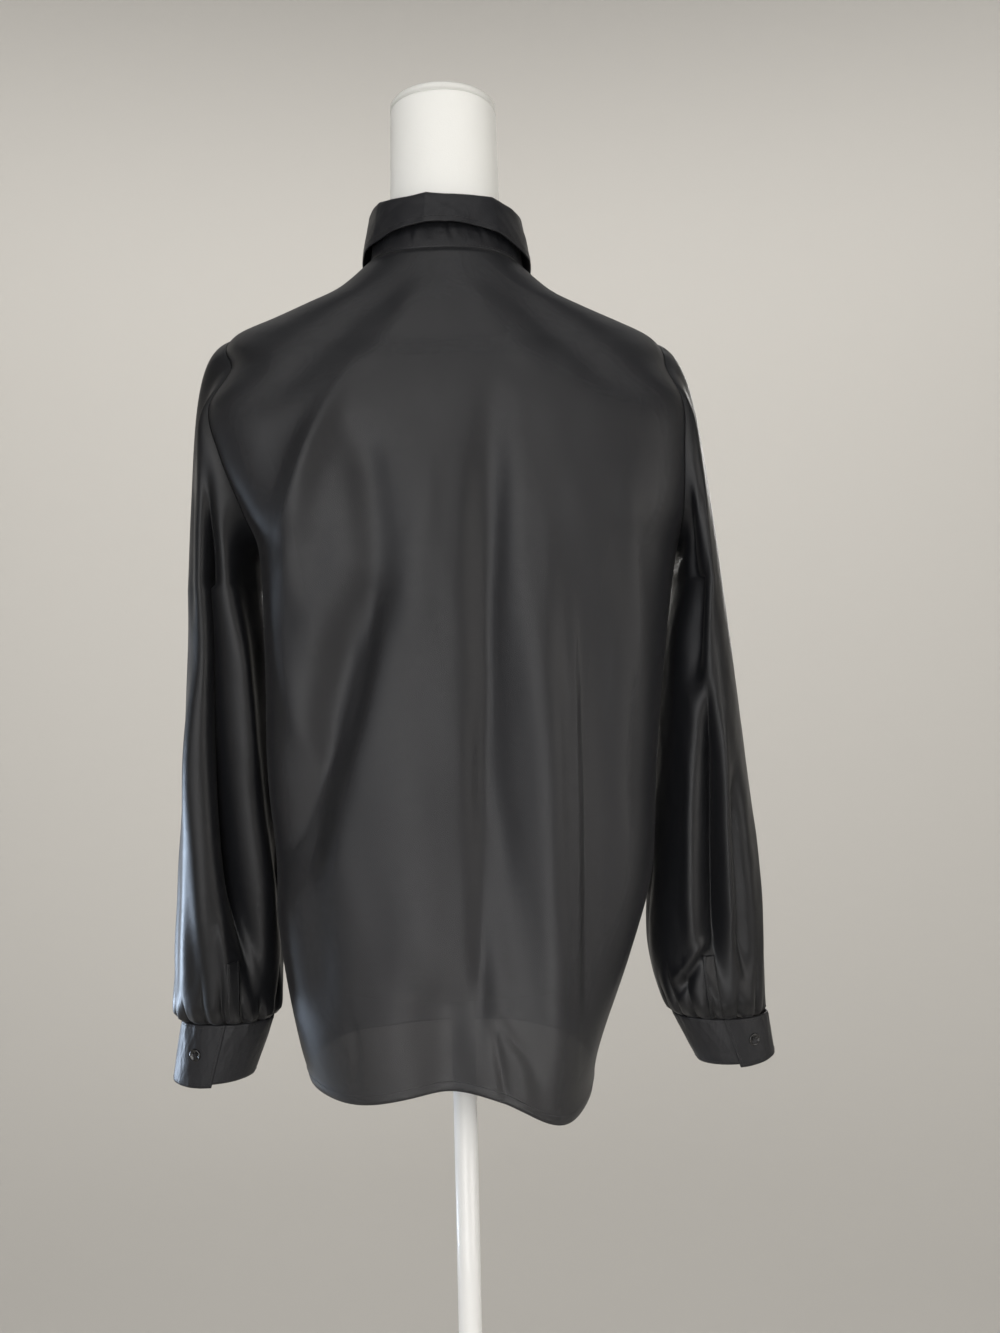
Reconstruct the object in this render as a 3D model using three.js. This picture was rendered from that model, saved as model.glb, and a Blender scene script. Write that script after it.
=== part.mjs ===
// A long-sleeved blouse with a turned-down collar, worn by a limbless dress form on a pole stand.
// Millimetres. X points to the wearer's left, the front faces -Y and Z is up.
// The origin is the middle of the round base, on the floor.
import * as THREE from "three";

const { clamp, degToRad } = THREE.MathUtils;

// Driving dimensions
const clothWall = 1.6;
const seamGap = 0.45;
const lapDrop = clothWall + 0.65; // how far an underlap lies below the overlap
const frontOverlap = 15; // each front runs this far past the centre line
const armholeBack = 0.55; // how far the armhole cuts into the back, as a turn round the body
const armholeFront = 0.5;
const armpitLevel = 66;
const shoulderLevel = 92;
const neckLevel = 100;
const sleeveTop = 1085; // height of the highest level ring of a sleeve, just under the armpit
const formBottom = 716;
const neckTop = 1530;
const neckRadius = 49.5;
const poleRadius = 11;
const hubRadius = 24;
const hubHeight = 26;
const baseRadius = 175;
const baseThickness = 10;
const restGap = 0.3; // between hard pieces that rest on each other
const buttonRadius = 5.8;
const buttonThickness = 2.4;

// How finely each piece is cut into facets
const backColumns = 22;
const frontColumns = 8;
const armholeRows = 14;
const sleeveSides = 2 * armholeRows;
const capRows = 6;
const cuffColumns = 18;
const collarColumns = 18;
const formSides = 24;
const buttonSides = 12;

// The body from hem to neckline, a row for each section. level counts up the body; zBack, zLeft,
// zRight and zFront are its height on each side, left, right, back and front its reach there, and
// square how full its corners are, from 0 for an oval to 0.11.
const sectionColumns = [
  ...["level", "zBack", "zLeft", "zRight", "zFront"],
  ...["left", "right", "back", "front", "square"],
];
const bodySections = table(sectionColumns, [
  [0, 641, 642, 632, 634, 144, 120, 108, 138, 0.03],
  [5, 668, 671, 665, 664, 152, 127, 107, 138, 0.036],
  [15, 742, 746, 742, 740, 164, 156, 105, 138, 0.05],
  [27, 822, 824, 822, 822, 170, 179, 103, 140, 0.06],
  [41, 922, 923, 923, 920, 174, 186, 101, 143, 0.06],
  [53, 1012, 1012, 1010, 1010, 174, 194, 102, 145, 0.06],
  [armpitLevel, 1112, 1118, 1112, 1108, 176, 208, 106, 141, 0.065],
  [71, 1152, 1152, 1148, 1142, 188, 217, 107, 134, 0.08],
  [77, 1200, 1198, 1194, 1182, 210, 222, 104, 126, 0.085],
  [83, 1246, 1244, 1238, 1220, 221, 220, 100, 116, 0.085],
  [88, 1276, 1286, 1275, 1246, 201, 206, 95, 108, 0.062],
  [90, 1286, 1306, 1294, 1254, 207, 202, 92, 105, 0.045],
  [shoulderLevel, 1296, 1322, 1310, 1262, 197, 191, 89, 101, 0.03],
  [94, 1313, 1334, 1323, 1273, 168, 165, 86, 97, 0.024],
  [96, 1332, 1346.5, 1335.5, 1286, 136, 134, 82, 92, 0.026],
  [98, 1352, 1360.5, 1350, 1302, 103, 104, 76, 86, 0.026],
  [neckLevel, 1381, 1386, 1376, 1330, 71, 73, 66, 76, 0.026],
]);
const hemReach = 14; // level up to which the hem's lobes pull the cloth
const hemLobes = table(["x", "width", "depth"], [
  [96, 34, 4],
  [8, 46, -8],
  [-90, 38, 26],
]);

// Soft folds of the body: a ridge where depth is positive and a trough where it is negative, from
// zTop down to zBottom through x = top, middle and bottom.
const foldColumns = ["zTop", "zBottom", "top", "middle", "bottom", "width", "depth"];
const backFolds = table(foldColumns, [
  [1260, 1040, 92, 128, 142, 15, 7],
  [1240, 1020, 84, 62, 76, 18, -6],
  [1100, 800, 62, 104, 156, 18, -12],
  [1290, 730, -46, -32, -48, 17, -7],
  [1150, 560, -68, -80, -86, 18, 8],
  [1100, 700, -122, -130, -124, 18, -5],
  [1370, 1220, 22, 100, 168, 26, -5],
  [1366, 1220, -40, -104, -178, 24, -5],
  [780, 560, 14, 11, 6, 32, -11],
]);
const frontFolds = table(foldColumns, [
  [1200, 560, 66, 74, 84, 20, -9],
  [1120, 560, 114, 116, 108, 18, 7],
  [1190, 560, -70, -78, -82, 20, -10],
  [1060, 560, -118, -116, -98, 18, 7],
]);

// Level rings of each sleeve, from the cuff seam up to the armpit. inner and outer are measured from
// the middle of the body, front and back along Y.
const sleeveColumns = ["z", "inner", "outer", "front", "back"];
const sleeveSections = {
  left: table(sleeveColumns, [
    [687.6, 179, 264.5, -28, 28],
    [694, 175, 268.5, -40, 38],
    [706, 173, 270, -52, 46],
    [722, 171.5, 270.5, -62, 48],
    [750, 170.5, 270, -72, 50],
    [800, 172.5, 266, -82, 54],
    [892, 176.5, 260, -92, 58],
    [985, 178.5, 253, -97, 62],
    [1035, 179, 249, -97, 65],
    [sleeveTop, 181, 247, -95, 70],
  ]),
  right: table(sleeveColumns, [
    [682.6, 199, 281, -28, 28],
    [689, 192, 282, -40, 38],
    [701, 186, 283, -51, 46],
    [719, 180, 284.5, -60, 48],
    [748, 175.5, 285, -70, 50],
    [790, 177.5, 284, -80, 54],
    [880, 186.5, 276, -90, 58],
    [970, 193, 266, -95, 62],
    [1030, 199, 258, -95, 65],
    [sleeveTop, 208, 249, -93, 70],
  ]),
};
const sleeveRows = 14; // of facets between the cuff seam and the armpit

// Folds down the sleeves, through turns of top, middle and bottom degrees about the sleeve: 0 is its
// outer side and 90 its back.
const sleeveFolds = {
  left: table(foldColumns, [
    [1230, 690, 92, 100, 134, 15, -18],
    [1150, 700, 118, 132, 158, 20, 12],
    [1080, 700, 60, 74, 88, 14, 5],
    [1150, 730, -44, -80, -104, 18, -15],
    [980, 700, -140, -138, -134, 16, -7],
  ]),
  right: table(foldColumns, [
    [1010, 690, 96, 97, 84, 15, -15],
    [1190, 960, 128, 122, 114, 15, -9],
    [930, 700, 60, 60, 58, 11, -8],
    [1140, 720, -48, -80, -100, 18, -14],
    [970, 700, -134, -138, -140, 16, -7],
  ]),
};
const headSpread = { left: 31, right: 26 }; // how far a sleeve's head swells past the shoulder seam
const headLean = { left: 0.045, right: 0.08 }; // how far it leans in there, as a share of its rise
const gathers = { depth: 3.2, full: 10, reach: 58 }; // alternate columns above the cuff seam

// Each cuff, from its seam with the sleeve down to its lower edge. slit is the turn of the
// overlapping end, and button that of the button, in degrees from the outer side. strip is the
// sleeve's column that its slit's bound edge lies on.
const cuffs = {
  left: {
    top: 687.1, innerTop: 178, outerTop: 264, innerLow: 197.5, outerLow: 273,
    zInnerLow: 634, zOuterLow: 631, slit: 96, button: 64, strip: 8,
  },
  right: {
    top: 682.1, innerTop: 197, outerTop: 285.5, innerLow: 219, outerLow: 292,
    zInnerLow: 638, zOuterLow: 644, slit: 92, button: 61, strip: 7,
  },
};
const cuffHalfDepth = 28;
const cuffLap = 17; // of the underlap, in degrees of turn
const placketRows = 5;

// The collar band, and the leaf that turns down from its top edge. Each point of the leaf's section,
// from its free edge to its seam, lies out and up from the band's top; drop scales the falling part.
const bandRise = { back: 42, side: 40, front: 30 };
const bandLean = 6;
const leafDrop = { back: 22, side: 38, front: 50 };
const leafFlare = 0.7; // how much further out the leaf stands at the front
const leafSection = table(
  ["out", "up", "drop"],
  [
    [13, 0, 1],
    [11.6, 0, 0.72],
    [9.6, 0, 0.42],
    [7.4, 0, 0.14],
    [5.6, 3.4, 0],
    [3, 5.8, 0],
    [0.4, 5.2, 0],
    [-1.4, 2.6, 0],
    [-1.6, 0.8, 0],
  ],
);
const buttonLevels = [95.4, 86.5, 73.5, 60, 46, 32, 18];

// The dress form, with the columns of the body
const formSections = table(sectionColumns, [
  [0, formBottom, formBottom, formBottom, formBottom, 122, 122, 70, 76, 0.01],
  [1, 723, 723, 723, 723, 128, 128, 75, 81, 0.01],
  [10, 775, 775, 775, 775, 134, 134, 83, 88, 0.01],
  [22, 850, 850, 850, 850, 122, 122, 76, 84, 0.01],
  [32, 915, 915, 915, 915, 114, 114, 70, 84, 0.01],
  [44, 1000, 1000, 1000, 1000, 124, 124, 78, 104, 0.01],
  [58, 1100, 1100, 1100, 1100, 142, 142, 86, 124, 0.01],
  [70, 1172, 1172, 1172, 1166, 156, 158, 87, 112, 0.01],
  [80, 1228, 1232, 1228, 1214, 176, 176, 83, 98, 0.01],
  [86, 1262, 1272, 1264, 1240, 184, 182, 79, 90, 0.01],
  [90, 1286, 1300, 1290, 1256, 186, 183, 77, 87, 0.01],
  [92, 1296, 1315, 1304, 1263, 181, 177, 78, 88, 0.01],
  [94, 1311, 1331.3, 1320.3, 1273, 168, 165, 77, 88, 0.01],
  [96, 1329, 1343.8, 1332.8, 1285, 136, 134, 73, 84, 0.01],
  [98, 1348, 1357.8, 1347.3, 1301, 103, 104, 67, 78, 0.01],
  [100, 1373, 1381.5, 1372, 1325, 69, 70.5, 58, 66, 0.01],
  [102, 1396, 1402, 1396, 1352, 55.5, 55.5, 50.5, 56, 0.01],
  [105, 1425, 1430, 1427, 1395, 52, 52, 48.6, 51, 0.01],
  [110, neckTop, neckTop, neckTop, neckTop, neckRadius, neckRadius, neckRadius, neckRadius, 0.01],
]);

const colours = {
  cloth: 0x1d1e20,
  button: 0x101113,
  jersey: 0xe6e7e1,
  cap: 0xd9d9d4,
  lacquer: 0xeceded,
};

// Rows of numbers as objects that carry the columns' names
function table(columns, rows) {
  return rows.map((row) => Object.fromEntries(columns.map((name, i) => [name, row[i]])));
}

function mix(a, b, share) {
  return a + (b - a) * share;
}

// Evenly spaced values from first to last, both included
function steps(first, last, count) {
  return Array.from({ length: count + 1 }, (_, i) => mix(first, last, i / count));
}

// Every column of a table at one value of its first column, on a smooth curve through the rows
function sectionAt(rows, value) {
  const key = Object.keys(rows[0])[0];
  const last = rows.length - 1;
  const i = clamp(rows.findLastIndex((row) => row[key] <= value), 0, last - 1);
  const [low, high] = [rows[i], rows[i + 1]];
  const [before, after] = [rows[Math.max(0, i - 1)], rows[Math.min(last, i + 2)]];
  const span = high[key] - low[key];
  const s = clamp((value - low[key]) / span, 0, 1);
  const section = {};
  for (const name of Object.keys(low)) {
    const slopeLow = ((high[name] - before[name]) / (high[key] - before[key])) * span;
    const slopeHigh = ((after[name] - low[name]) / (after[key] - low[key])) * span;
    section[name] =
      low[name] * (1 + 2 * s) * (1 - s) ** 2 +
      slopeLow * s * (1 - s) ** 2 +
      high[name] * s * s * (3 - 2 * s) +
      slopeHigh * s * s * (s - 1);
  }
  return section;
}

// A value for a turn round the body, from those at its back, side and front
function roundBody(back, side, front, turn) {
  const facing = Math.cos(turn);
  return mix(side, facing > 0 ? back : front, facing * facing);
}

// Point of a rounded ring round the body: turn 0 is the middle of the back, a quarter turn the left
function ringPoint(section, turn) {
  const [across, deep] = [Math.sin(turn), Math.cos(turn)];
  const { left, right, back, front, zLeft, zRight, zBack, zFront, square } = section;
  const wide = mix((left + right) / 2, across > 0 ? left : right, Math.abs(across));
  const long = mix((back + front) / 2, deep > 0 ? back : front, Math.abs(deep));
  const zSide = mix((zLeft + zRight) / 2, across > 0 ? zLeft : zRight, Math.abs(across));
  const fullness = 1 - square;
  return new THREE.Vector3(
    (wide * (across + square * Math.sin(3 * turn))) / fullness,
    (long * (deep - square * Math.cos(3 * turn))) / fullness,
    roundBody(zBack, zSide, zFront, turn),
  );
}

// The level direction out of a ring
function ringOut(section, turn) {
  const wide = (section.left + section.right) / 2;
  const long = (section.back + section.front) / 2;
  return new THREE.Vector3(Math.sin(turn) / wide, Math.cos(turn) / long, 0).normalize();
}

// How far one fold moves the cloth at a place across it, with places a whole `round` apart the same
function foldDepth(fold, across, z, round) {
  if (z > fold.zTop || z < fold.zBottom) return 0;
  const s = (fold.zTop - z) / (fold.zTop - fold.zBottom);
  const line =
    fold.top * (1 - s) * (1 - 2 * s) + 4 * fold.middle * s * (1 - s) + fold.bottom * s * (2 * s - 1);
  const easeLength = 0.3;
  const ease = Math.min(1, s / easeLength) * Math.min(1, (1 - s) / easeLength);
  let distance = across - line;
  if (round) distance -= round * Math.round(distance / round);
  return fold.depth * ease * ease * (3 - 2 * ease) * Math.exp(-((distance / fold.width) ** 2));
}

// The body of the blouse: a ring moved out and in by the folds, with the back hem's lobes
function bodyPoint(level, turn, lift = 0) {
  const section = sectionAt(bodySections, level);
  const point = ringPoint(section, turn);
  const facing = Math.cos(turn);
  const sideWidth = 0.3; // the folds fade out towards the sides
  const fade = Math.min(1, Math.abs(facing) / sideWidth);
  const folds = facing > 0 ? backFolds : frontFolds;
  const move = folds.reduce((sum, fold) => sum + fade * foldDepth(fold, point.x, point.z), lift);
  const nearHem = Math.max(0, 1 - level / hemReach) * Math.sqrt(Math.max(0, facing));
  hemLobes.forEach((lobe) => {
    point.z -= lobe.depth * nearHem * Math.exp(-(((point.x - lobe.x) / lobe.width) ** 2));
  });
  return point.addScaledVector(ringOut(section, turn), move);
}

// The direction out of the body's cloth
function bodyOut(level, turn) {
  const [levelStep, turnStep] = [0.1, 0.01];
  const up = bodyPoint(level + levelStep, turn).sub(bodyPoint(level - levelStep, turn));
  const along = bodyPoint(level, turn + turnStep).sub(bodyPoint(level, turn - turnStep));
  return up.cross(along).normalize();
}

// The armhole is a loop of climb from 0 at the armpit to pi at the shoulder seam, once up the back
// edge and once down the front edge.
function armholeLevel(climb) {
  return mix(armpitLevel, shoulderLevel, (1 - Math.cos(climb)) / 2);
}

// How far a panel's edge lies from the side seam at a level of the body, as a turn
function armholeCut(level, depth) {
  const share = (level - armpitLevel) / (shoulderLevel - armpitLevel);
  return share > 0 && share < 1 ? depth * Math.sin(Math.acos(1 - 2 * share)) : 0;
}

function halfSeamTurn(level) {
  const section = sectionAt(bodySections, level);
  return seamGap / (section.back + section.front);
}

function frontLapTurn(level) {
  const section = sectionAt(bodySections, level);
  return (2 * frontOverlap) / (section.left + section.right);
}

const bodyLevels = [
  ...[0, 3, 8, 15, 24, 33, 42, 50, 58],
  ...steps(0, Math.PI, armholeRows).map(armholeLevel),
  ...[94, 96, 98, neckLevel],
];

// A panel of the body as a grid of points with their directions out. Its columns run anticlockwise
// seen from above, which is towards lower turns.
function bodyPanel(turnsAt, liftAt = () => 0) {
  return bodyLevels.map((level) =>
    turnsAt(level).map((turn) => ({
      point: bodyPoint(level, turn, liftAt(level, turn)),
      out: bodyOut(level, turn),
    })),
  );
}

function backPanel() {
  return bodyPanel((level) => {
    const edge = Math.PI / 2 - armholeCut(level, armholeBack) - halfSeamTurn(level);
    return steps(edge, -edge, backColumns);
  });
}

// Distances of a front's columns from the middle of the back, from its side edge past the centre
function frontTurns(level) {
  const edge = Math.PI / 2 + armholeCut(level, armholeFront) + halfSeamTurn(level);
  const lap = frontLapTurn(level);
  return [...steps(edge, Math.PI - 2 * lap, frontColumns), Math.PI - lap, Math.PI, Math.PI + lap];
}

function rightFrontPanel() {
  return bodyPanel((level) => frontTurns(level).map((turn) => -turn));
}

function leftFrontPanel() {
  const liftAt = (level, turn) => (turn > Math.PI - 1.5 * frontLapTurn(level) ? -lapDrop : 0);
  return bodyPanel((level) => frontTurns(level).reverse(), liftAt);
}

// The directions out of a closed ring-by-ring grid, from the points round each one
function withDirections(rings) {
  const last = rings.length - 1;
  return rings.map((ring, i) =>
    ring.map((point, j) => {
      const up = rings[Math.min(last, i + 1)][j].clone().sub(rings[Math.max(0, i - 1)][j]);
      const along = ring[(j + 1) % ring.length].clone().sub(ring.at(j - 1));
      return { point, out: along.cross(up).normalize() };
    }),
  );
}

// Turns about a sleeve or cuff, in the order that runs anticlockwise seen from above
function anticlockwise(side, degrees) {
  return side === "left" ? degrees : [...degrees].reverse();
}

function sideSign(side) {
  return side === "left" ? 1 : -1;
}

// Point of a level oval beside the body, `lift` out from it
function ovalPoint(side, oval, degrees, z, lift = 0) {
  const sign = sideSign(side);
  const turn = degToRad(degrees);
  const [halfWidth, halfDepth] = [(oval.outer - oval.inner) / 2, (oval.back - oval.front) / 2];
  const out = new THREE.Vector3((sign * Math.cos(turn)) / halfWidth, Math.sin(turn) / halfDepth, 0);
  const point = new THREE.Vector3(
    sign * ((oval.inner + oval.outer) / 2 + halfWidth * Math.cos(turn)),
    (oval.front + oval.back) / 2 + halfDepth * Math.sin(turn),
    z,
  );
  return point.addScaledVector(out.normalize(), lift);
}

function sleeveFoldLift(side, degrees, z) {
  return sleeveFolds[side].reduce((sum, fold) => sum + foldDepth(fold, degrees, z, 360), 0);
}

// Gathers push every other column out above the cuff seam
function gatherLift(side, column, z) {
  const above = z - sleeveSections[side][0].z;
  if (above > gathers.reach) return 0;
  const strength = above < gathers.full ? mix(0.4, 1, above / gathers.full) : 1 - above / gathers.reach;
  return (column % 2 ? 1 : -1) * gathers.depth * strength;
}

// Where the sleeve meets the armhole at one turn about the sleeve, and the cloth's direction there
function armholeSeam(side, degrees) {
  const turn = degToRad(degrees);
  const behind = Math.sin(turn) >= 0;
  const climb = behind ? Math.PI - turn : turn - Math.PI;
  const height = armholeLevel(climb);
  const levelHeight = 8; // about how far one level is from the next
  const level = height + (Math.cos(climb) * seamGap) / levelHeight;
  const section = sectionAt(bodySections, level);
  const inset = (Math.sin(climb) * 2 * seamGap) / (section.back + section.front);
  const cut = (behind ? armholeBack : -armholeFront) * Math.sin(climb) - (behind ? inset : -inset);
  const bodyTurn = sideSign(side) * (Math.PI / 2 - cut);
  return { point: bodyPoint(level, bodyTurn), out: bodyOut(level, bodyTurn), climb, behind };
}

// The sleeve's head: a curve from the armhole out over the shoulder and down to the highest level ring
function sleeveHeadPoint(side, degrees, share) {
  const seam = armholeSeam(side, degrees);
  const sign = sideSign(side);
  const high = (1 - Math.cos(seam.climb)) / 2;
  const ring = ovalPoint(side, sectionAt(sleeveSections[side], sleeveTop), degrees, sleeveTop);
  const rise = seam.point.z - ring.z;
  const leave = new THREE.Vector3(
    sign * mix(9, headSpread[side], high * high),
    (seam.behind ? 4 : -4) * Math.sin(seam.climb),
    mix(-5, -8, high),
  ).add(seam.point);
  const arrive = new THREE.Vector3(-sign * headLean[side] * rise, 0, mix(0.4, 0.79, high) * rise).add(ring);
  const curve = new THREE.CubicBezierCurve3(ring, arrive, leave, seam.point);
  const point = curve.getPoint(share);
  const fade = Math.sin(degToRad(90 * (1 - share)));
  const out = new THREE.Vector3(sign * Math.cos(degToRad(degrees)), Math.sin(degToRad(degrees)), 0);
  return point.addScaledVector(out, fade * sleeveFoldLift(side, degrees, point.z));
}

// A sleeve from the cuff seam up to the armhole
function sleeve(side) {
  const sections = sleeveSections[side];
  const columns = anticlockwise(side, Array.from({ length: sleeveSides }, (_, i) => i));
  const degreesOf = (column) => (360 * column) / sleeveSides;
  const spread = (share) => mix(sections[0].z, sleeveTop, share ** 1.7); // rows are closer near the cuff
  const levelRings = steps(0, 1, sleeveRows).map((share) => {
    const z = spread(share);
    const oval = sectionAt(sections, z);
    return columns.map((column) => {
      const lift = sleeveFoldLift(side, degreesOf(column), z) + gatherLift(side, column, z);
      return ovalPoint(side, oval, degreesOf(column), z, lift);
    });
  });
  const headRings = steps(0, 1, capRows)
    .slice(1)
    .map((share) => columns.map((column) => sleeveHeadPoint(side, degreesOf(column), share)));
  const grid = withDirections([...levelRings, ...headRings]);
  grid.at(-1).forEach((corner, j) => {
    corner.out = armholeSeam(side, degreesOf(columns[j])).out;
  });
  return grid;
}

// The bound edge of the sleeve's slit lies on the sleeve, one column wide
function sleevePlacket(side) {
  const { strip } = cuffs[side];
  const columns = anticlockwise(side, [strip, strip + 1]);
  const rows = sleeve(side).slice(1, 1 + placketRows);
  const place = (row, column) => row[side === "left" ? column : sleeveSides - 1 - column];
  return rows.map((row) =>
    columns.map((column) => {
      const { point, out } = place(row, column);
      return { point: point.clone().addScaledVector(out, clothWall + seamGap), out };
    }),
  );
}

// A cuff as one strip that starts under its own end
function cuffPoint(side, share, degrees, lift = 0) {
  const cuff = cuffs[side];
  const oval = {
    inner: mix(cuff.innerLow, cuff.innerTop, share),
    outer: mix(cuff.outerLow, cuff.outerTop, share),
    front: -cuffHalfDepth + 1,
    back: cuffHalfDepth + 1,
  };
  const low = mix(cuff.zInnerLow, cuff.zOuterLow, (1 + Math.cos(degToRad(degrees))) / 2);
  return ovalPoint(side, oval, degrees, mix(low, cuff.top, share), lift);
}

function cuffOut(side, share, degrees) {
  return cuffPoint(side, share, degrees, 1).sub(cuffPoint(side, share, degrees));
}

function cuff(side) {
  const { slit } = cuffs[side];
  const [start, end] = [slit - cuffLap, slit + 360];
  const degrees = [start, ...steps(slit, end - cuffLap, cuffColumns), end];
  return steps(0, 1, 2).map((share) =>
    anticlockwise(side, degrees).map((turn) => ({
      point: cuffPoint(side, share, turn, turn <= slit ? -lapDrop : 0),
      out: cuffOut(side, share, turn),
    })),
  );
}

// The collar band stands on the neckline and leans in
function bandPoint(turn, share, lift = 0) {
  const neckline = sectionAt(bodySections, neckLevel);
  const rise = roundBody(bandRise.back, bandRise.side, bandRise.front, turn);
  const point = ringPoint(neckline, turn);
  point.z += seamGap + share * rise;
  return point.addScaledVector(ringOut(neckline, turn), lift - seamGap - share * bandLean);
}

function bandOut(turn, share) {
  const up = bandPoint(turn, share + 0.1).sub(bandPoint(turn, share - 0.1));
  return up.cross(bandPoint(turn + 0.01, share).sub(bandPoint(turn - 0.01, share))).normalize();
}

// The columns that the band and its leaf share, from the left end of the leaf to the right
function collarTurns() {
  const lap = frontLapTurn(neckLevel);
  const leafEnd = Math.PI - lap;
  return [leafEnd, ...steps(leafEnd - lap, lap - leafEnd, collarColumns), -leafEnd];
}

function collarBand() {
  const lap = frontLapTurn(neckLevel);
  const turns = [Math.PI + lap, Math.PI, ...collarTurns(), -Math.PI, -Math.PI - lap];
  return steps(0, 1, 2).map((share) =>
    turns.map((turn) => ({
      point: bandPoint(turn, share, turn > Math.PI - 1.5 * lap ? -lapDrop : 0),
      out: ringOut(sectionAt(bodySections, neckLevel), turn),
    })),
  );
}

// The leaf rolls over the band's top edge and falls outside it
function leafPoint(corner, turn) {
  const drop = roundBody(leafDrop.back, leafDrop.side, leafDrop.front, turn);
  const flare = 1 + leafFlare * roundBody(0, 0, 1, turn);
  const point = bandPoint(turn, 1, corner.out > 0 ? corner.out * flare : corner.out);
  point.z += corner.up - corner.drop * drop;
  return point;
}

function collarLeaf() {
  const last = leafSection.length - 1;
  return leafSection.map((corner, i) =>
    collarTurns().map((turn) => {
      const [below, above] = [leafSection[Math.max(0, i - 1)], leafSection[Math.min(last, i + 1)]];
      const up = leafPoint(above, turn).sub(leafPoint(below, turn));
      const along = leafPoint(corner, turn - 0.01).sub(leafPoint(corner, turn + 0.01));
      return { point: leafPoint(corner, turn), out: along.cross(up).normalize() };
    }),
  );
}

// A geometry from corner points and the faces between them
function geometryOf(points, faces) {
  const geometry = new THREE.BufferGeometry();
  const positions = points.flatMap((point) => point.toArray());
  geometry.setAttribute("position", new THREE.Float32BufferAttribute(positions, 3));
  geometry.setIndex(faces.flatMap(([a, b, c, d]) => (d === undefined ? [a, b, c] : [a, b, c, a, c, d])));
  geometry.computeVertexNormals();
  return geometry;
}

// A closed wall of cloth from a grid on its outer side, joined all round where `round` is true
function clothGeometry(grid, round = false) {
  const [height, width] = [grid.length, grid[0].length];
  const corners = grid.flat();
  const outerPoints = corners.map(({ point }) => point);
  const innerPoints = corners.map(({ point, out }) => point.clone().addScaledVector(out, -clothWall));
  const outer = (i, j) => i * width + (j % width);
  const inner = (i, j) => height * width + outer(i, j);
  const [columns, top, faces] = [round ? width : width - 1, height - 1, []];
  for (let j = 0; j < columns; j += 1) {
    for (let i = 0; i < top; i += 1) {
      faces.push([outer(i, j), outer(i, j + 1), outer(i + 1, j + 1), outer(i + 1, j)]);
      faces.push([inner(i, j), inner(i + 1, j), inner(i + 1, j + 1), inner(i, j + 1)]);
    }
    faces.push([inner(0, j), inner(0, j + 1), outer(0, j + 1), outer(0, j)]);
    faces.push([outer(top, j), outer(top, j + 1), inner(top, j + 1), inner(top, j)]);
  }
  for (let i = 0; i < top && !round; i += 1) {
    faces.push([inner(i, 0), outer(i, 0), outer(i + 1, 0), inner(i + 1, 0)]);
    const last = width - 1;
    faces.push([outer(i, last), inner(i, last), inner(i + 1, last), outer(i + 1, last)]);
  }
  return geometryOf([...outerPoints, ...innerPoints], faces);
}

// The form: rings one above the other, closed flat at both ends
function formGeometry() {
  const turns = steps(0, -2 * Math.PI, formSides).slice(0, formSides);
  const rings = formSections.map((section) => turns.map((turn) => ringPoint(section, turn)));
  const at = (i, j) => i * formSides + (j % formSides);
  const [last, faces] = [rings.length - 1, []];
  for (let j = 0; j < formSides; j += 1) {
    for (let i = 0; i < last; i += 1) faces.push([at(i, j), at(i, j + 1), at(i + 1, j + 1), at(i + 1, j)]);
    if (j > 0 && j < formSides - 1) {
      faces.push([at(0, 0), at(0, j + 1), at(0, j)]);
      faces.push([at(last, 0), at(last, j), at(last, j + 1)]);
    }
  }
  return geometryOf(rings.flat(), faces);
}

// A turned solid whose axis is Z, from [radius, height] pairs
function turnedGeometry(profile, sides) {
  const points = profile.map(([radius, height]) => new THREE.Vector2(radius, height));
  return new THREE.LatheGeometry(points, sides).rotateX(Math.PI / 2);
}

function capGeometry() {
  const [rim, crown] = [5, 11];
  const profile = [[0, 0], [neckRadius, 0], [neckRadius, rim], [neckRadius * 0.8, crown - 2], [0, crown]];
  return turnedGeometry(profile, 32);
}

function baseGeometry() {
  const edge = 3;
  const profile = [
    [0, 0],
    [baseRadius - edge, 0],
    [baseRadius, edge],
    [baseRadius - edge, baseThickness - edge],
    [hubRadius + 30, baseThickness],
    [0, baseThickness],
  ];
  return turnedGeometry(profile, 48);
}

function hubGeometry() {
  const bore = poleRadius + restGap;
  const profile = [
    [bore, 0],
    [hubRadius, 0],
    [hubRadius, hubHeight - 6],
    [hubRadius - 5, hubHeight],
    [bore, hubHeight],
    [bore, 0],
  ];
  return turnedGeometry(profile, 24);
}

function buttonGeometry() {
  const dish = 0.8;
  const profile = [
    [0, 0],
    [buttonRadius - dish, 0],
    [buttonRadius, buttonThickness / 2],
    [buttonRadius - dish, buttonThickness],
    [buttonRadius - 3 * dish, buttonThickness - dish],
    [0, buttonThickness - dish],
  ];
  return turnedGeometry(profile, buttonSides);
}

const finishes = {
  cloth: new THREE.MeshStandardMaterial({ color: colours.cloth, roughness: 0.5, side: THREE.DoubleSide }),
  button: new THREE.MeshStandardMaterial({ color: colours.button, roughness: 0.3 }),
  jersey: new THREE.MeshStandardMaterial({ color: colours.jersey, roughness: 0.9 }),
  cap: new THREE.MeshStandardMaterial({ color: colours.cap, roughness: 0.6 }),
  lacquer: new THREE.MeshStandardMaterial({ color: colours.lacquer, roughness: 0.35, metalness: 0.1 }),
};

const blouse = new THREE.Group();

function addPiece(name, geometry, finish, position = [0, 0, 0]) {
  const piece = new THREE.Mesh(geometry, finish.clone());
  piece.name = name;
  piece.position.set(...position);
  blouse.add(piece);
  return piece;
}

// A button on the cloth at a point, turned to face out of it
function addButton(name, point, out) {
  const seat = point.clone().addScaledVector(out, restGap);
  const button = addPiece(name, buttonGeometry(), finishes.button, seat.toArray());
  button.quaternion.setFromUnitVectors(new THREE.Vector3(0, 0, 1), out);
}

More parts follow.
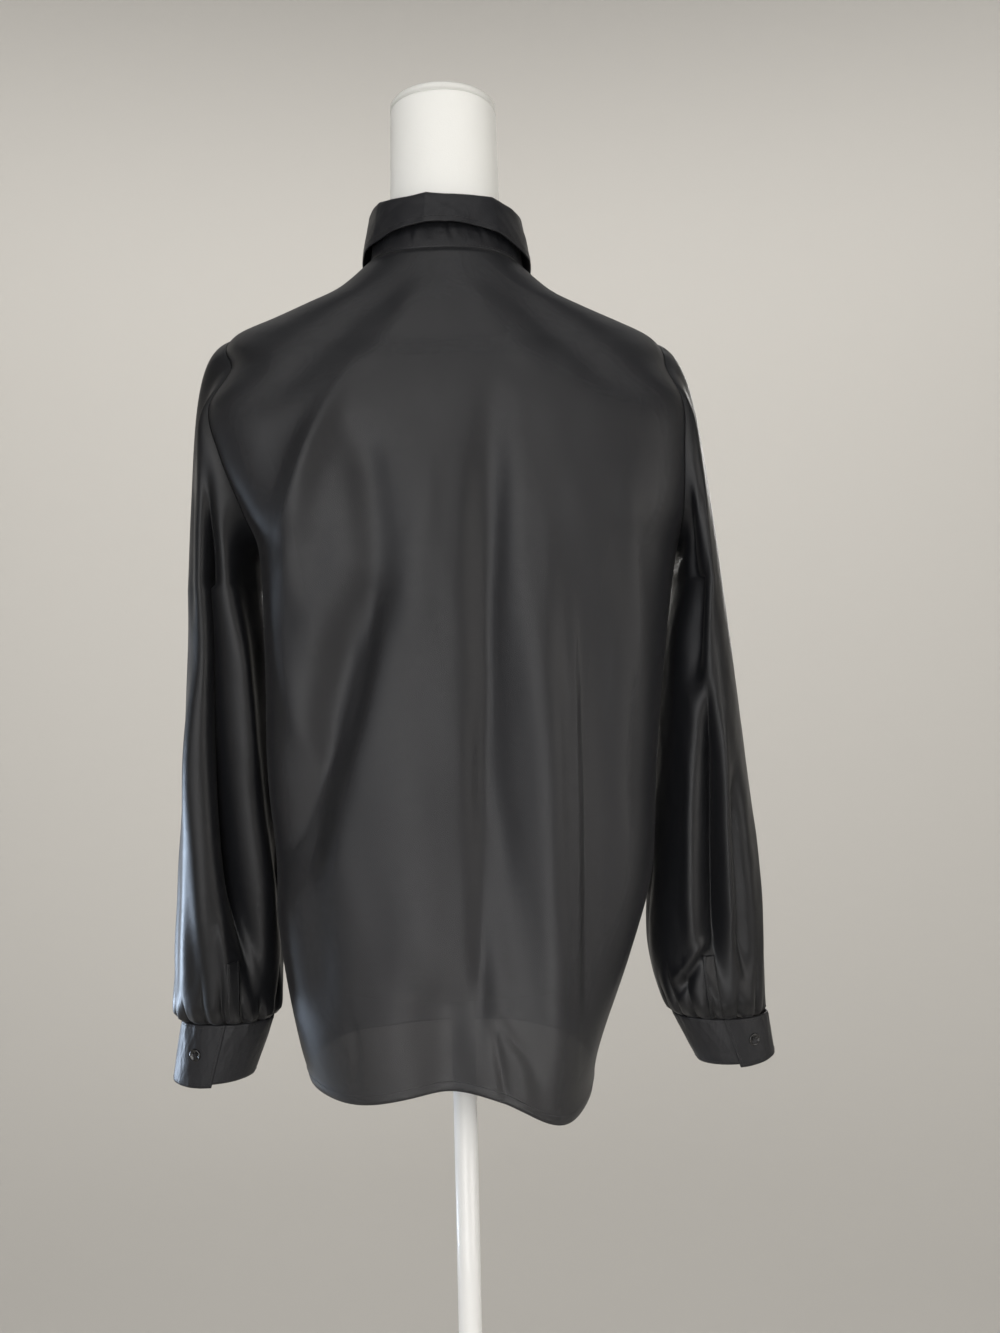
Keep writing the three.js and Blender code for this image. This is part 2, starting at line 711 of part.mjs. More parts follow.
addPiece("form_torso", formGeometry(), finishes.jersey);
addPiece("form_neck_cap", capGeometry(), finishes.cap, [0, 0, neckTop + restGap]);
const poleBottom = baseThickness + restGap;
const poleLength = formBottom - restGap - poleBottom;
const poleGeometry = new THREE.CylinderGeometry(poleRadius, poleRadius, poleLength, 20);
poleGeometry.rotateX(Math.PI / 2);
addPiece("stand_pole", poleGeometry, finishes.lacquer, [0, 0, poleBottom + poleLength / 2]);
addPiece("stand_hub", hubGeometry(), finishes.lacquer, [0, 0, poleBottom]);
addPiece("stand_base", baseGeometry(), finishes.lacquer);

addPiece("back", clothGeometry(backPanel()), finishes.cloth);
addPiece("front_right", clothGeometry(rightFrontPanel()), finishes.cloth);
addPiece("front_left", clothGeometry(leftFrontPanel()), finishes.cloth);
addPiece("collar_stand", clothGeometry(collarBand()), finishes.cloth);
addPiece("collar_fall", clothGeometry(collarLeaf()), finishes.cloth);
for (const side of ["left", "right"]) {
  addPiece(`sleeve_${side}`, clothGeometry(sleeve(side), true), finishes.cloth);
  addPiece(`sleeve_placket_${side}`, clothGeometry(sleevePlacket(side)), finishes.cloth);
  addPiece(`cuff_${side}`, clothGeometry(cuff(side)), finishes.cloth);
  const { button } = cuffs[side];
  const middle = 0.5;
  addButton(`cuff_button_${side}`, cuffPoint(side, middle, button), cuffOut(side, middle, button));
}
buttonLevels.forEach((level, i) => {
  addButton(`front_button_${i + 1}`, bodyPoint(level, -Math.PI), bodyOut(level, -Math.PI));
});
const bandButtonShare = 0.4;
addButton("band_button", bandPoint(-Math.PI, bandButtonShare), bandOut(-Math.PI, bandButtonShare));

export default blouse;
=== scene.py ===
import math

import bpy
import numpy as np
from mathutils import Matrix, Vector


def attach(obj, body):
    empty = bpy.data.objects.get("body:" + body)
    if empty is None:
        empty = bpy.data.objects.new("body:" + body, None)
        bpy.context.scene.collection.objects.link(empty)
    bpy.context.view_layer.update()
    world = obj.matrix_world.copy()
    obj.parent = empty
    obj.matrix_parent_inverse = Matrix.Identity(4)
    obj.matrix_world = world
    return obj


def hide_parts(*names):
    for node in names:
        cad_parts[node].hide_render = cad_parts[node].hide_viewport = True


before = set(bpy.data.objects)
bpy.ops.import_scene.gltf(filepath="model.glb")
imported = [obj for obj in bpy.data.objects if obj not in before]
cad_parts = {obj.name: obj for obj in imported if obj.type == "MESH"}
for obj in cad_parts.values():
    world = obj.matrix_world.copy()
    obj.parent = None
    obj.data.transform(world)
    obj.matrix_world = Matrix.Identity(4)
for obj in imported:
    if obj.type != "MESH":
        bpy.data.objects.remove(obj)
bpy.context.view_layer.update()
metre = 0.001  # of each millimetre
cloth = {"wall": 1.6, "thickness": 0.7, "doubled": 1.3, "seamGap": 0.22}


# Shared maths: tables, smooth curves through them, rings round the body
# (the same curves that the solids follow, so every piece lies on its solid)


def table(columns, rows):
    return {name: np.array([row[i] for row in rows], float) for i, name in enumerate(columns.split())}


def rowsOf(columns, rows):
    return [dict(zip(columns.split(), row)) for row in rows]


def mix(a, b, share):
    return a + (b - a) * share


def smooth(value, start, end):
    s = np.clip((value - start) / (end - start), 0, 1)
    return s * s * (3 - 2 * s)


def sectionAt(rows, value):
    # every column of a table at values of its first column, on a smooth curve through the rows
    keys = rows[next(iter(rows))]
    value, last = np.asarray(value, float), len(keys) - 1
    i = np.clip(np.searchsorted(keys, value, side="right") - 1, 0, last - 1)
    before, after = np.maximum(0, i - 1), np.minimum(last, i + 2)
    span = keys[i + 1] - keys[i]
    s = np.clip((value - keys[i]) / span, 0, 1)
    section = {}
    for name, column in rows.items():
        slopeLow = (column[i + 1] - column[before]) / (keys[i + 1] - keys[before]) * span
        slopeHigh = (column[after] - column[i]) / (keys[after] - keys[i]) * span
        section[name] = (
            column[i] * (1 + 2 * s) * (1 - s) ** 2
            + slopeLow * s * (1 - s) ** 2
            + column[i + 1] * s * s * (3 - 2 * s)
            + slopeHigh * s * s * (s - 1)
        )
    return section


def place(x, y, z):
    return np.stack(np.broadcast_arrays(x, y, z), axis=-1).astype(float)


def unit(v):
    return v / np.maximum(np.linalg.norm(v, axis=-1, keepdims=True), 1e-9)


def roundBody(back, side, front, turn):
    facing = np.cos(turn)
    return mix(side, np.where(facing > 0, back, front), facing * facing)


# turn 0 is the middle of the back and a quarter turn the wearer's left
def ringPoint(section, turn):
    across, deep = np.sin(turn), np.cos(turn)
    left, right, back, front, square = (section[k] for k in ("left", "right", "back", "front", "square"))
    wide = mix((left + right) / 2, np.where(across > 0, left, right), abs(across))
    long = mix((back + front) / 2, np.where(deep > 0, back, front), abs(deep))
    zSide = mix(
        (section["zLeft"] + section["zRight"]) / 2,
        np.where(across > 0, section["zLeft"], section["zRight"]),
        abs(across),
    )
    return place(
        wide * (across + square * np.sin(3 * turn)) / (1 - square),
        long * (deep - square * np.cos(3 * turn)) / (1 - square),
        roundBody(section["zBack"], zSide, section["zFront"], turn),
    )


def ringOut(section, turn):
    wide, long = (section["left"] + section["right"]) / 2, (section["back"] + section["front"]) / 2
    return unit(place(np.sin(turn) / wide, np.cos(turn) / long, 0 * turn))


def foldLift(folds, across, z, round=0):
    # how far folds move the cloth at places across it; `sharp` ones come to a crease
    total = np.zeros(np.broadcast(across, z).shape)
    for fold in folds:
        s = np.clip((fold["zTop"] - z) / (fold["zTop"] - fold["zBottom"]), 0, 1)
        top, middle, bottom = fold["top"], fold["middle"], fold["bottom"]
        line = top * (1 - s) * (1 - 2 * s) + 4 * middle * s * (1 - s) + bottom * s * (2 * s - 1)
        ease = np.minimum(1, s / 0.3) * np.minimum(1, (1 - s) / 0.3)
        distance = across - line
        if round:
            distance = distance - round * np.round(distance / round)
        reach = distance / fold["width"]
        sharp = fold.get("sharp", 0)
        profile = mix(np.exp(-(reach**2)), np.exp(-1.4 * abs(reach)), sharp)
        total += fold["depth"] * ease * ease * (3 - 2 * ease) * profile
    return total


def drift(a, b, seed):
    # a slow uneven wave from -1 to 1, always the same for one seed
    rng = np.random.default_rng(seed)
    total = 0
    for octave in range(4):
        turnA, turnB = rng.uniform(0.6, 1.4, 2) * 1.6**octave
        waveA = np.sin(turnA * a + rng.uniform(0, 6.28))
        waveB = np.sin(turnB * b + rng.uniform(0, 6.28))
        total = total + waveA * waveB / 1.4**octave
    return total / 2.2


# Meshes and materials


def addMesh(name, points, faces, material, uv=None):
    mesh = bpy.data.meshes.new(name)
    mesh.from_pydata([tuple(p) for p in np.asarray(points).reshape(-1, 3) * metre], [], faces)
    mesh.polygons.foreach_set("use_smooth", [True] * len(mesh.polygons))
    if uv is not None:
        layer = mesh.uv_layers.new(name="threads")
        loops = np.zeros(len(mesh.loops), int)
        mesh.loops.foreach_get("vertex_index", loops)
        layer.data.foreach_set("uv", (np.asarray(uv).reshape(-1, 2)[loops] * metre).ravel())
    mesh.update()
    obj = bpy.data.objects.new(name, mesh)
    bpy.context.collection.objects.link(obj)
    obj.data.materials.append(material)
    return obj


def gridFaces(height, width, closed=False):
    columns = width if closed else width - 1
    return [
        (i * width + j, i * width + (j + 1) % width, (i + 1) * width + (j + 1) % width, (i + 1) * width + j)
        for i in range(height - 1)
        for j in range(columns)
    ]


def tubeFaces(rings, sides):
    # a tube of rings of points, with its ends filled
    ends = [tuple(reversed(range(sides))), tuple((rings - 1) * sides + j for j in range(sides))]
    return gridFaces(rings, sides, closed=True) + ends


def arcLengths(points, axis):
    steps = np.linalg.norm(np.diff(points, axis=axis), axis=-1)
    total = np.cumsum(steps, axis=axis)
    return np.concatenate([np.zeros_like(np.take(total, [0], axis)), total], axis=axis)


def clothPiece(name, points, material, thickness, closed=False):
    # a shell of cloth inside a grid on its outer side, rows upwards, columns anticlockwise from above
    height, width = points.shape[:2]
    along = arcLengths(points, 1)
    uv = np.stack([along - along[:, width // 2 : width // 2 + 1], arcLengths(points, 0)], axis=-1)
    obj = addMesh(name, points, gridFaces(height, width, closed), material, uv)
    shell = obj.modifiers.new("shell", "SOLIDIFY")
    shell.thickness, shell.offset = thickness * metre, -1
    return obj


def areaOf(points, closed=False):
    ring = np.concatenate([points, points[:, :1]], axis=1) if closed else points
    a, b, c, d = ring[:-1, :-1], ring[:-1, 1:], ring[1:, 1:], ring[1:, :-1]
    return 0.5e-6 * (np.linalg.norm(np.cross(c - a, d - b), axis=-1)).sum()


def nodeGroup(name, inputs, outputs, kind="ShaderNodeTree"):
    group = bpy.data.node_groups.new(name, kind)
    for direction, sockets in (("INPUT", inputs), ("OUTPUT", outputs)):
        for label, socketType, value in sockets:
            socket = group.interface.new_socket(label, in_out=direction, socket_type=socketType)
            if value is not None:
                socket.default_value = value
    return group


def weaveGroup():
    # crossing threads with small uneven slubs, and soft dents, as heights and a roughness
    settings = {
        "Threads per metre": 2600.0, "Slub scale": 90.0, "Crumple scale": 34.0,
        "Roughness": 0.45, "Unevenness": 0.08,
    }
    results = ("Threads", "Crumple", "Roughness")
    group = nodeGroup(
        "satin weave",
        [(label, "NodeSocketFloat", value) for label, value in settings.items()],
        [(label, "NodeSocketFloat", None) for label in results],
    )
    nodes, links = group.nodes, group.links
    given, result = nodes.new("NodeGroupInput").outputs, nodes.new("NodeGroupOutput").inputs
    threads = nodes.new("ShaderNodeUVMap")
    threads.uv_map = "threads"
    uv = threads.outputs["UV"]

    def put(kind, output, inputs, **choices):
        # a node whose inputs are numbers or the outputs of other nodes
        node = nodes.new("ShaderNode" + kind)
        for choice, value in choices.items():
            setattr(node, choice, value)
        for key, value in inputs.items():
            if isinstance(value, bpy.types.NodeSocket):
                links.new(value, node.inputs[key])
            else:
                node.inputs[key].default_value = value
        return node.outputs[output]

    weft, warp = (
        put("TexWave", "Fac", {"Vector": uv, "Scale": given["Threads per metre"]}, bands_direction=direction)
        for direction in ("X", "Y")
    )
    # the satin's face hides most of the weft
    crossed = put("Math", "Value", {0: weft, 1: 0.3, 2: warp}, operation="MULTIPLY_ADD")
    slubs = put("TexNoise", "Fac", {"Vector": uv, "Scale": given["Slub scale"], "Detail": 3})
    centred = put("Math", "Value", {0: slubs, 1: 0.5}, operation="SUBTRACT")
    roughness = {0: centred, 1: given["Unevenness"], 2: given["Roughness"]}
    uneven = put("Math", "Value", roughness, operation="MULTIPLY_ADD")
    # faint soft dents that cloth keeps from being worn and folded
    dents = {"Vector": uv, "Scale": given["Crumple scale"], "Detail": 4, "Roughness": 0.6, "Distortion": 0.7}
    for label, output in zip(results, (crossed, put("TexNoise", "Fac", dents), uneven)):
        links.new(output, result[label])
    return group


weave = weaveGroup()


def newMaterial(name):
    material = bpy.data.materials.new(name)
    material.use_nodes = True
    tree = material.node_tree
    return material, tree.nodes, tree.links, tree.nodes["Principled BSDF"]


def clothMaterial(name, look):
    material, nodes, links, surface = newMaterial(name)
    woven = nodes.new("ShaderNodeGroup")
    woven.node_tree = weave
    woven.inputs["Roughness"].default_value = look["roughness"]
    normal = None
    for height, strength, distance in (("Crumple", look["crumple"], 0.0016), ("Threads", 0.12, 0.0001)):
        bump = nodes.new("ShaderNodeBump")
        bump.inputs["Strength"].default_value = strength
        bump.inputs["Distance"].default_value = distance
        links.new(woven.outputs[height], bump.inputs["Height"])
        if normal is not None:
            links.new(normal, bump.inputs["Normal"])
        normal = bump.outputs["Normal"]
    links.new(normal, surface.inputs["Normal"])
    links.new(woven.outputs["Roughness"], surface.inputs["Roughness"])
    surface.inputs["Base Color"].default_value = (*look["colour"], 1)
    surface.inputs["Specular IOR Level"].default_value = look["gloss"]
    surface.inputs["Sheen Weight"].default_value = look["sheen"]
    surface.inputs["Sheen Roughness"].default_value = 0.45
    surface.inputs["Alpha"].default_value = look["cover"]
    return material


def plainMaterial(name, colour, roughness, grain=None, coat=0.0):
    # grain is (scale, bump distance in metres) of a fine noise on Object coordinates
    material, nodes, links, surface = newMaterial(name)
    surface.inputs["Base Color"].default_value = (*colour, 1)
    surface.inputs["Roughness"].default_value = roughness
    surface.inputs["Coat Weight"].default_value = coat
    if grain:
        place3, noise, bump = (nodes.new(f"ShaderNode{k}") for k in ("TexCoord", "TexNoise", "Bump"))
        noise.inputs["Scale"].default_value = grain[0]
        bump.inputs["Distance"].default_value = grain[1]
        bump.inputs["Strength"].default_value = 0.5
        links.new(place3.outputs["Object"], noise.inputs["Vector"])
        links.new(noise.outputs["Fac"], bump.inputs["Height"])
        links.new(bump.outputs["Normal"], surface.inputs["Normal"])
    return material


satin = {
    "colour": (0.0095, 0.0098, 0.0122), "roughness": 0.48, "gloss": 0.5, "sheen": 0.03,
    "cover": 0.86, "crumple": 0.3,
}
clothBlack = clothMaterial("black satin-faced cloth", satin)
# the sleeves are the body's satin with about half its colour, as painted shade, and a little less see-through
# and less glossy
sleeveShadedSatin = {**satin, "cover": 0.96, "gloss": 0.38, "roughness": 0.43, "colour": (0.005, 0.0053, 0.0068)}
sleeveShadedBlack = clothMaterial("black satin-faced cloth, sleeves, with painted shade", sleeveShadedSatin)
doubledBlack = clothMaterial("black cloth, doubled", {**satin, "cover": 1.0, "crumple": 0.7, "gloss": 0.36})
threadBlack = plainMaterial("black thread", (0.018, 0.018, 0.02), 0.6)
buttonBlack = plainMaterial("black button", (0.004, 0.004, 0.0046), 0.2, grain=(300, 0.0001), coat=0.4)
jerseyWhite = plainMaterial("off-white jersey", (0.90, 0.90, 0.87), 0.9, grain=(900, 0.0003))
capWhite = plainMaterial("matt cap", (0.80, 0.80, 0.77), 0.6, grain=(120, 0.0001))
lacquerWhite = plainMaterial("white lacquer", (0.95, 0.95, 0.935), 0.3, coat=0.2)
print("materials made")


# The body of the blouse

body = {
    "armpitLevel": 66,
    "shoulderLevel": 92,
    "neckLevel": 100,
    "armholeBack": 0.55,  # turns that the armhole cuts into the back and the fronts
    "armholeFront": 0.5,
    "frontOverlap": 15,
    "lapDrop": 2.25,
    "hemReach": 14,
    "hemWidth": 8,
    "columnsBack": 170,
    "columnsFront": 74,
    "columnsLap": 13,
    "rowsBelow": 115,  # under the armhole, along it and above it
    "rowsArmhole": 70,
    "rowsAbove": 25,
    "hemPerLevel": 5.6,  # about the length of cloth in a level near the hem
}
sectionColumns = "level zBack zLeft zRight zFront left right back front square"
bodySections = table(sectionColumns, [
    (0, 641, 642, 632, 634, 144, 120, 108, 138, 0.03),
    (5, 668, 671, 665, 664, 152, 127, 107, 138, 0.036),
    (15, 742, 746, 742, 740, 164, 156, 105, 138, 0.05),
    (27, 822, 824, 822, 822, 170, 179, 103, 140, 0.06),
    (41, 922, 923, 923, 920, 174, 186, 101, 143, 0.06),
    (53, 1012, 1012, 1010, 1010, 174, 194, 102, 145, 0.06),
    (66, 1112, 1118, 1112, 1108, 176, 208, 106, 141, 0.065),
    (71, 1152, 1152, 1148, 1142, 188, 217, 107, 134, 0.08),
    (77, 1200, 1198, 1194, 1182, 210, 222, 104, 126, 0.085),
    (83, 1246, 1244, 1238, 1220, 221, 220, 100, 116, 0.085),
    (88, 1276, 1286, 1275, 1246, 201, 206, 95, 108, 0.062),
    (90, 1286, 1306, 1294, 1254, 207, 202, 92, 105, 0.045),
    (92, 1296, 1322, 1310, 1262, 197, 191, 89, 101, 0.03),
    (94, 1313, 1334, 1323, 1273, 168, 165, 86, 97, 0.024),
    (96, 1332, 1346.5, 1335.5, 1286, 136, 134, 82, 92, 0.026),
    (98, 1352, 1360.5, 1350, 1302, 103, 104, 76, 86, 0.026),
    (100, 1381, 1386, 1376, 1330, 71, 73, 66, 76, 0.026),
])
hemLobes = rowsOf("x width depth", [(96, 34, 4), (8, 46, -8), (-90, 38, 26)])

foldColumns = "zTop zBottom top middle bottom width depth sharp"
backFolds = rowsOf(foldColumns, [
    # the main folds, which the solids have too
    (1260, 1040, 92, 128, 142, 15, 7, 0),
    (1240, 1020, 84, 62, 76, 18, -6, 0),
    (1110, 790, 68, 112, 162, 25, -18, 0),
    (1290, 730, -46, -32, -48, 16, -9, 0),
    (1150, 560, -68, -80, -86, 18, 8, 0),
    (1100, 700, -122, -130, -124, 18, -5, 0),
    (1370, 1220, 22, 100, 168, 26, -5, 0),
    (1366, 1220, -40, -104, -178, 24, -5, 0),
    (780, 560, 14, 11, 6, 32, -11, 0),
    # finer creases, listed one by one
    (1300, 1090, 66, 118, 158, 10, 2.2, 0.1),
    (1130, 900, 150, 146, 120, 10, 1.6, 0.1),
    (1110, 900, 70, 76, 112, 8, -1.6, 0.2),
    (960, 830, 104, 132, 166, 8, -1.8, 0.2),
    (1010, 820, 128, 128, 150, 12, 2.4, 0),
    (920, 690, 126, 124, 118, 20, -5, 0),
    (1210, 900, -52, -36, -30, 8, -1.6, 0.2),
    (1000, 640, -26, -22, -20, 9, -4, 0.1),
    (980, 650, 44, 34, 26, 34, 4.5, 0),
    (1120, 640, -104, -106, -98, 4.5, 2.2, 1),
    (1110, 640, -110, -112, -104, 6, -2, 0.6),
    (1180, 800, -82, -88, -84, 10, 1.4, 0),
    (1240, 1000, 12, 22, 34, 16, 1.6, 0),
    (1200, 980, -150, -160, -164, 10, 1.6, 0.1),
    (1060, 800, -158, -160, -152, 10, -1.5, 0.1),
    (718, 676, -32, -44, -66, 4.5, -3.2, 0.7),
    (712, 630, -29, -35, -42, 4.5, -3.4, 0.7),
    (690, 640, -48, -54, -58, 7, 2, 0.2),
    (722, 650, 96, 88, 92, 5, -1, 0.4),
    (1368, 1250, 10, 40, 92, 14, 1.6, 0),
    (1366, 1250, -14, -44, -98, 14, 1.4, 0),
])
frontFolds = rowsOf(foldColumns, [
    (1200, 560, 66, 74, 84, 20, -9, 0),
    (1120, 560, 114, 116, 108, 18, 7, 0),
    (1190, 560, -70, -78, -82, 20, -10, 0),
    (1060, 560, -118, -116, -98, 18, 7, 0),
    (1180, 800, 50, 62, 70, 7, 2.4, 0.5),
    (1150, 760, -54, -64, -70, 7, 2.4, 0.5),
    (1240, 1040, 110, 128, 150, 8, 2.2, 0.3),
    (1230, 1030, -112, -134, -158, 8, 2.2, 0.3),
    (980, 640, 96, 98, 92, 6, 1.8, 0.7),
    (960, 640, -98, -96, -86, 6, 1.8, 0.7),
    (900, 620, 30, 36, 34, 10, 2, 0.2),
    (880, 620, -34, -38, -36, 10, 2, 0.2),
])


def bodyPoint(level, turn, lift=0.0):
    section = sectionAt(bodySections, level)
    point = ringPoint(section, turn)
    facing = np.cos(turn)
    fade = np.minimum(1, abs(facing) / 0.3)
    x, z = point[..., 0], point[..., 2]
    folds = np.where(facing > 0, foldLift(backFolds, x, z), foldLift(frontFolds, x, z))
    ripple = 0.55 * drift(x / 24, z / 62, 11) * smooth(1390 - z, 0, 90)
    nearHem = np.maximum(0, 1 - level / body["hemReach"]) * np.sqrt(np.maximum(0, facing))
    dip = sum(l["depth"] * np.exp(-(((x - l["x"]) / l["width"]) ** 2)) for l in hemLobes)
    point[..., 2] = z - nearHem * dip
    move = fade * folds + ripple + lift
    return point + ringOut(section, turn) * move[..., None]


def bodyOut(level, turn):
    up = bodyPoint(level + 0.1, turn) - bodyPoint(level - 0.1, turn)
    along = bodyPoint(level, turn + 0.01) - bodyPoint(level, turn - 0.01)
    return unit(np.cross(up, along))


def armholeLevel(climb):
    return mix(body["armpitLevel"], body["shoulderLevel"], (1 - np.cos(climb)) / 2)


def armholeCut(level, depth):
    share = np.clip((level - body["armpitLevel"]) / (body["shoulderLevel"] - body["armpitLevel"]), 0, 1)
    return depth * np.sin(np.arccos(1 - 2 * share))


def halfSeamTurn(level):
    section = sectionAt(bodySections, level)
    return cloth["seamGap"] / (section["back"] + section["front"])


def lapTurn(level):
    section = sectionAt(bodySections, level)
    return 2 * body["frontOverlap"] / (section["left"] + section["right"])


# rows of a panel, closest round the armhole's ends where its edge turns quickly
def bodyLevels():
    low = np.linspace(0, body["armpitLevel"], body["rowsBelow"] + 1)[:-1]
    armhole = armholeLevel(np.linspace(0, math.pi, body["rowsArmhole"]))
    high = np.linspace(body["shoulderLevel"], body["neckLevel"], body["rowsAbove"] + 1)[1:]
    return np.concatenate([low, armhole, high])


def hemLift(level):
    # the turned-up hem is doubled, so it stands a little proud up to its stitching
    height = level * body["hemPerLevel"]
    return 0.45 * (1 - smooth(height, body["hemWidth"] - 0.8, body["hemWidth"] + 0.8))


def bodyPanel(turnsAt, liftAt=None):
    levels = bodyLevels()
    turns = np.array([turnsAt(level) for level in levels])
    grid = np.repeat(levels[:, None], turns.shape[1], axis=1)
    lift = hemLift(grid) + (liftAt(grid, turns) if liftAt else 0)
    return bodyPoint(grid, turns, lift)


def backTurns(level):
    edge = math.pi / 2 - armholeCut(level, body["armholeBack"]) - halfSeamTurn(level)
    return np.linspace(edge, -edge, body["columnsBack"] + 1)


def frontTurns(level):
    # from the side edge to past the centre; the last columns make the overlap
    edge = math.pi / 2 + armholeCut(level, body["armholeFront"]) + halfSeamTurn(level)
    lap = lapTurn(level)
    return np.concatenate([
        np.linspace(edge, math.pi - 1.15 * lap, body["columnsFront"]),
        np.linspace(math.pi - lap, math.pi + lap, body["columnsLap"]),
    ])


def placketLift(level, turns):
    # the front band is doubled as far as its stitching, one overlap's width from the centre
    distance = (abs(abs(turns) - math.pi)) / lapTurn(level)
    return 0.35 * (1 - smooth(distance, 0.98, 1.1))


def underlapLift(level, turns):
    # the left front goes in under the right one
    lap = lapTurn(level)
    return -body["lapDrop"] * smooth(turns - math.pi, -1.35 * lap, -1.02 * lap)


backGrid = bodyPanel(backTurns)
rightGrid = bodyPanel(lambda level: -frontTurns(level), placketLift)
leftGrid = bodyPanel(lambda level: frontTurns(level)[::-1], underlapLift)
backPiece = clothPiece("backPanel", backGrid, clothBlack, cloth["thickness"])
rightPiece = clothPiece("frontRight", rightGrid, clothBlack, cloth["thickness"])
leftPiece = clothPiece("frontLeft", leftGrid, clothBlack, cloth["thickness"])
print("body panels made", *(round(areaOf(g), 4) for g in (backGrid, rightGrid, leftGrid)))


# The sleeves

sleeves = {
    "top": 1085, "columns": 252, "levelRows": 150, "headRows": 44, "spread": 1.6,
    "gatherWaves": 15, "gatherDepth": 6.8, "gatherReach": 58, "gatherSink": 1.35, "seamRipple": 0.8,
}
sleeveColumns = "z inner outer front back"
sleeveSections = {
    "left": table(sleeveColumns, [
        (687.6, 179, 264.5, -28, 28),
        (694, 175, 268.5, -40, 38),
        (706, 173, 270, -52, 46),
        (722, 171.5, 270.5, -62, 48),
        (750, 170.5, 270, -72, 50),
        (800, 172.5, 266, -82, 54),
        (892, 176.5, 260, -92, 58),
        (985, 178.5, 253, -97, 62),
        (1035, 179, 249, -97, 65),
        (1085, 181, 247, -95, 70),
    ]),
    "right": table(sleeveColumns, [
        (682.6, 199, 281, -28, 28),
        (689, 192, 282, -40, 38),
        (701, 186, 283, -51, 46),
        (719, 180, 284.5, -60, 48),
        (748, 175.5, 285, -70, 50),
        (790, 177.5, 284, -80, 54),
        (880, 186.5, 276, -90, 58),
        (970, 193, 266, -95, 62),
        (1030, 199, 258, -95, 65),
        (1085, 208, 249, -93, 70),
    ]),
}
# through degrees about the sleeve: 0 is its outer side and 90 its back
sleeveFolds = {
    "left": rowsOf(foldColumns, [
        (1230, 690, 92, 100, 134, 12, -24, 0.1),
        (1190, 700, 94, 103, 134, 5, -10, 0.2),
        (1150, 700, 118, 131, 157, 16, 13.5, 0),
        (1040, 690, 66, 74, 88, 13, 6, 0),
        (1020, 684, 58, 58, 54, 12, 5, 0),
        (1150, 730, -44, -80, -104, 18, -15, 0),
        (980, 700, -140, -138, -134, 16, -7, 0),
        (960, 720, 112, 120, 142, 4, -5, 0.3),
        (980, 700, 6, 14, 22, 8, 1.6, 0.1),
        (840, 700, 26, 30, 36, 8, -1.6, 0.1),
        (800, 690, 96, 102, 104, 6, 3.4, 0.2),
        (1200, 1040, 40, 52, 60, 8, -3, 0.1),
        (1060, 900, 118, 126, 132, 6, 2.2, 0.2),
        (860, 700, -20, -26, -30, 7, -2.4, 0.4),
        (1000, 720, -68, -96, -112, 7, 2.4, 0.4),
        (860, 700, 168, 176, 184, 8, -2.2, 0.4),
    ]),
    "right": rowsOf(foldColumns, [
        (1010, 690, 96, 97, 84, 12, -20, 0.1),
        (1190, 960, 128, 122, 114, 14, -11, 0),
        (930, 700, 60, 60, 58, 9, -12, 0.1),
        (940, 720, 118, 116, 108, 9, 4, 0),
        (1080, 930, 150, 148, 140, 12, 2, 0),
        (1140, 720, -48, -80, -100, 18, -14, 0),
        (970, 700, -134, -138, -140, 16, -7, 0),
        (980, 720, 74, 78, 72, 7, 4, 0.1),
        (760, 700, 96, 116, 140, 8, -5, 0.2),
        (770, 716, 92, 112, 138, 6, 4, 0.2),
        (1200, 1000, 70, 84, 96, 9, 2.4, 0.2),
        (900, 690, 22, 28, 36, 7, 2.2, 0.4),
        (860, 700, -24, -28, -30, 7, -2.4, 0.4),
        (1000, 720, -70, -98, -110, 7, 2.4, 0.4),
        (860, 700, 168, 176, 184, 8, -2.2, 0.4),
    ]),
}
headSpread = {"left": 31, "right": 26}
headLean = {"left": 0.045, "right": 0.08}
signs = {"left": 1, "right": -1}


def ovalPoint(side, oval, degrees, z, lift=0.0):
    turn, sign = np.radians(degrees), signs[side]
    halfWidth, halfDepth = (oval["outer"] - oval["inner"]) / 2, (oval["back"] - oval["front"]) / 2
    out = unit(place(sign * np.cos(turn) / halfWidth, np.sin(turn) / halfDepth, 0 * turn))
    point = place(
        sign * ((oval["inner"] + oval["outer"]) / 2 + halfWidth * np.cos(turn)),
        (oval["front"] + oval["back"]) / 2 + halfDepth * np.sin(turn),
        z,
    )
    return point + out * np.asarray(lift)[..., None]


def sleeveLift(side, degrees, z):
    ripple = 0.7 * drift(degrees / 17 + signs[side], z / 48, 23 if side == "left" else 29)
    return foldLift(sleeveFolds[side], degrees, z, 360) + ripple


def gatherLift(side, degrees, z):
    # uneven pleats above the cuff seam, rounded on top and pinched between, with tighter ones at the seam
    above = z - sleeveSections[side]["z"][0]
    turn, sign = np.radians(degrees), signs[side]
    own = 0.8 + 0.25 * np.sin(3 * turn + sign) * np.sin(5 * turn + 2)
    reach = sleeves["gatherReach"] * (0.9 + 0.35 * np.sin(4 * turn + 1.3 * sign))
    strength = np.where(above < 5, mix(0.6, 1, above / 5), np.maximum(0, 1 - above / reach) ** 1.7)
    phase = sleeves["gatherWaves"] / 2 * turn + 0.55 * np.sin(3 * turn + sign)
    pleats = 2 * abs(np.sin(phase)) ** 0.45 - sleeves["gatherSink"]
    seam = np.cos(29 * turn + 1.4 * np.sin(5 * turn)) * np.maximum(0, 1 - above / 22)
    return own * (sleeves["gatherDepth"] * strength * pleats + sleeves["seamRipple"] * seam)


def sleevePoint(side, degrees, z, lift=0.0):
    lift = sleeveLift(side, degrees, z) + gatherLift(side, degrees, z) + lift
    return ovalPoint(side, sectionAt(sleeveSections[side], z), degrees, z, lift)


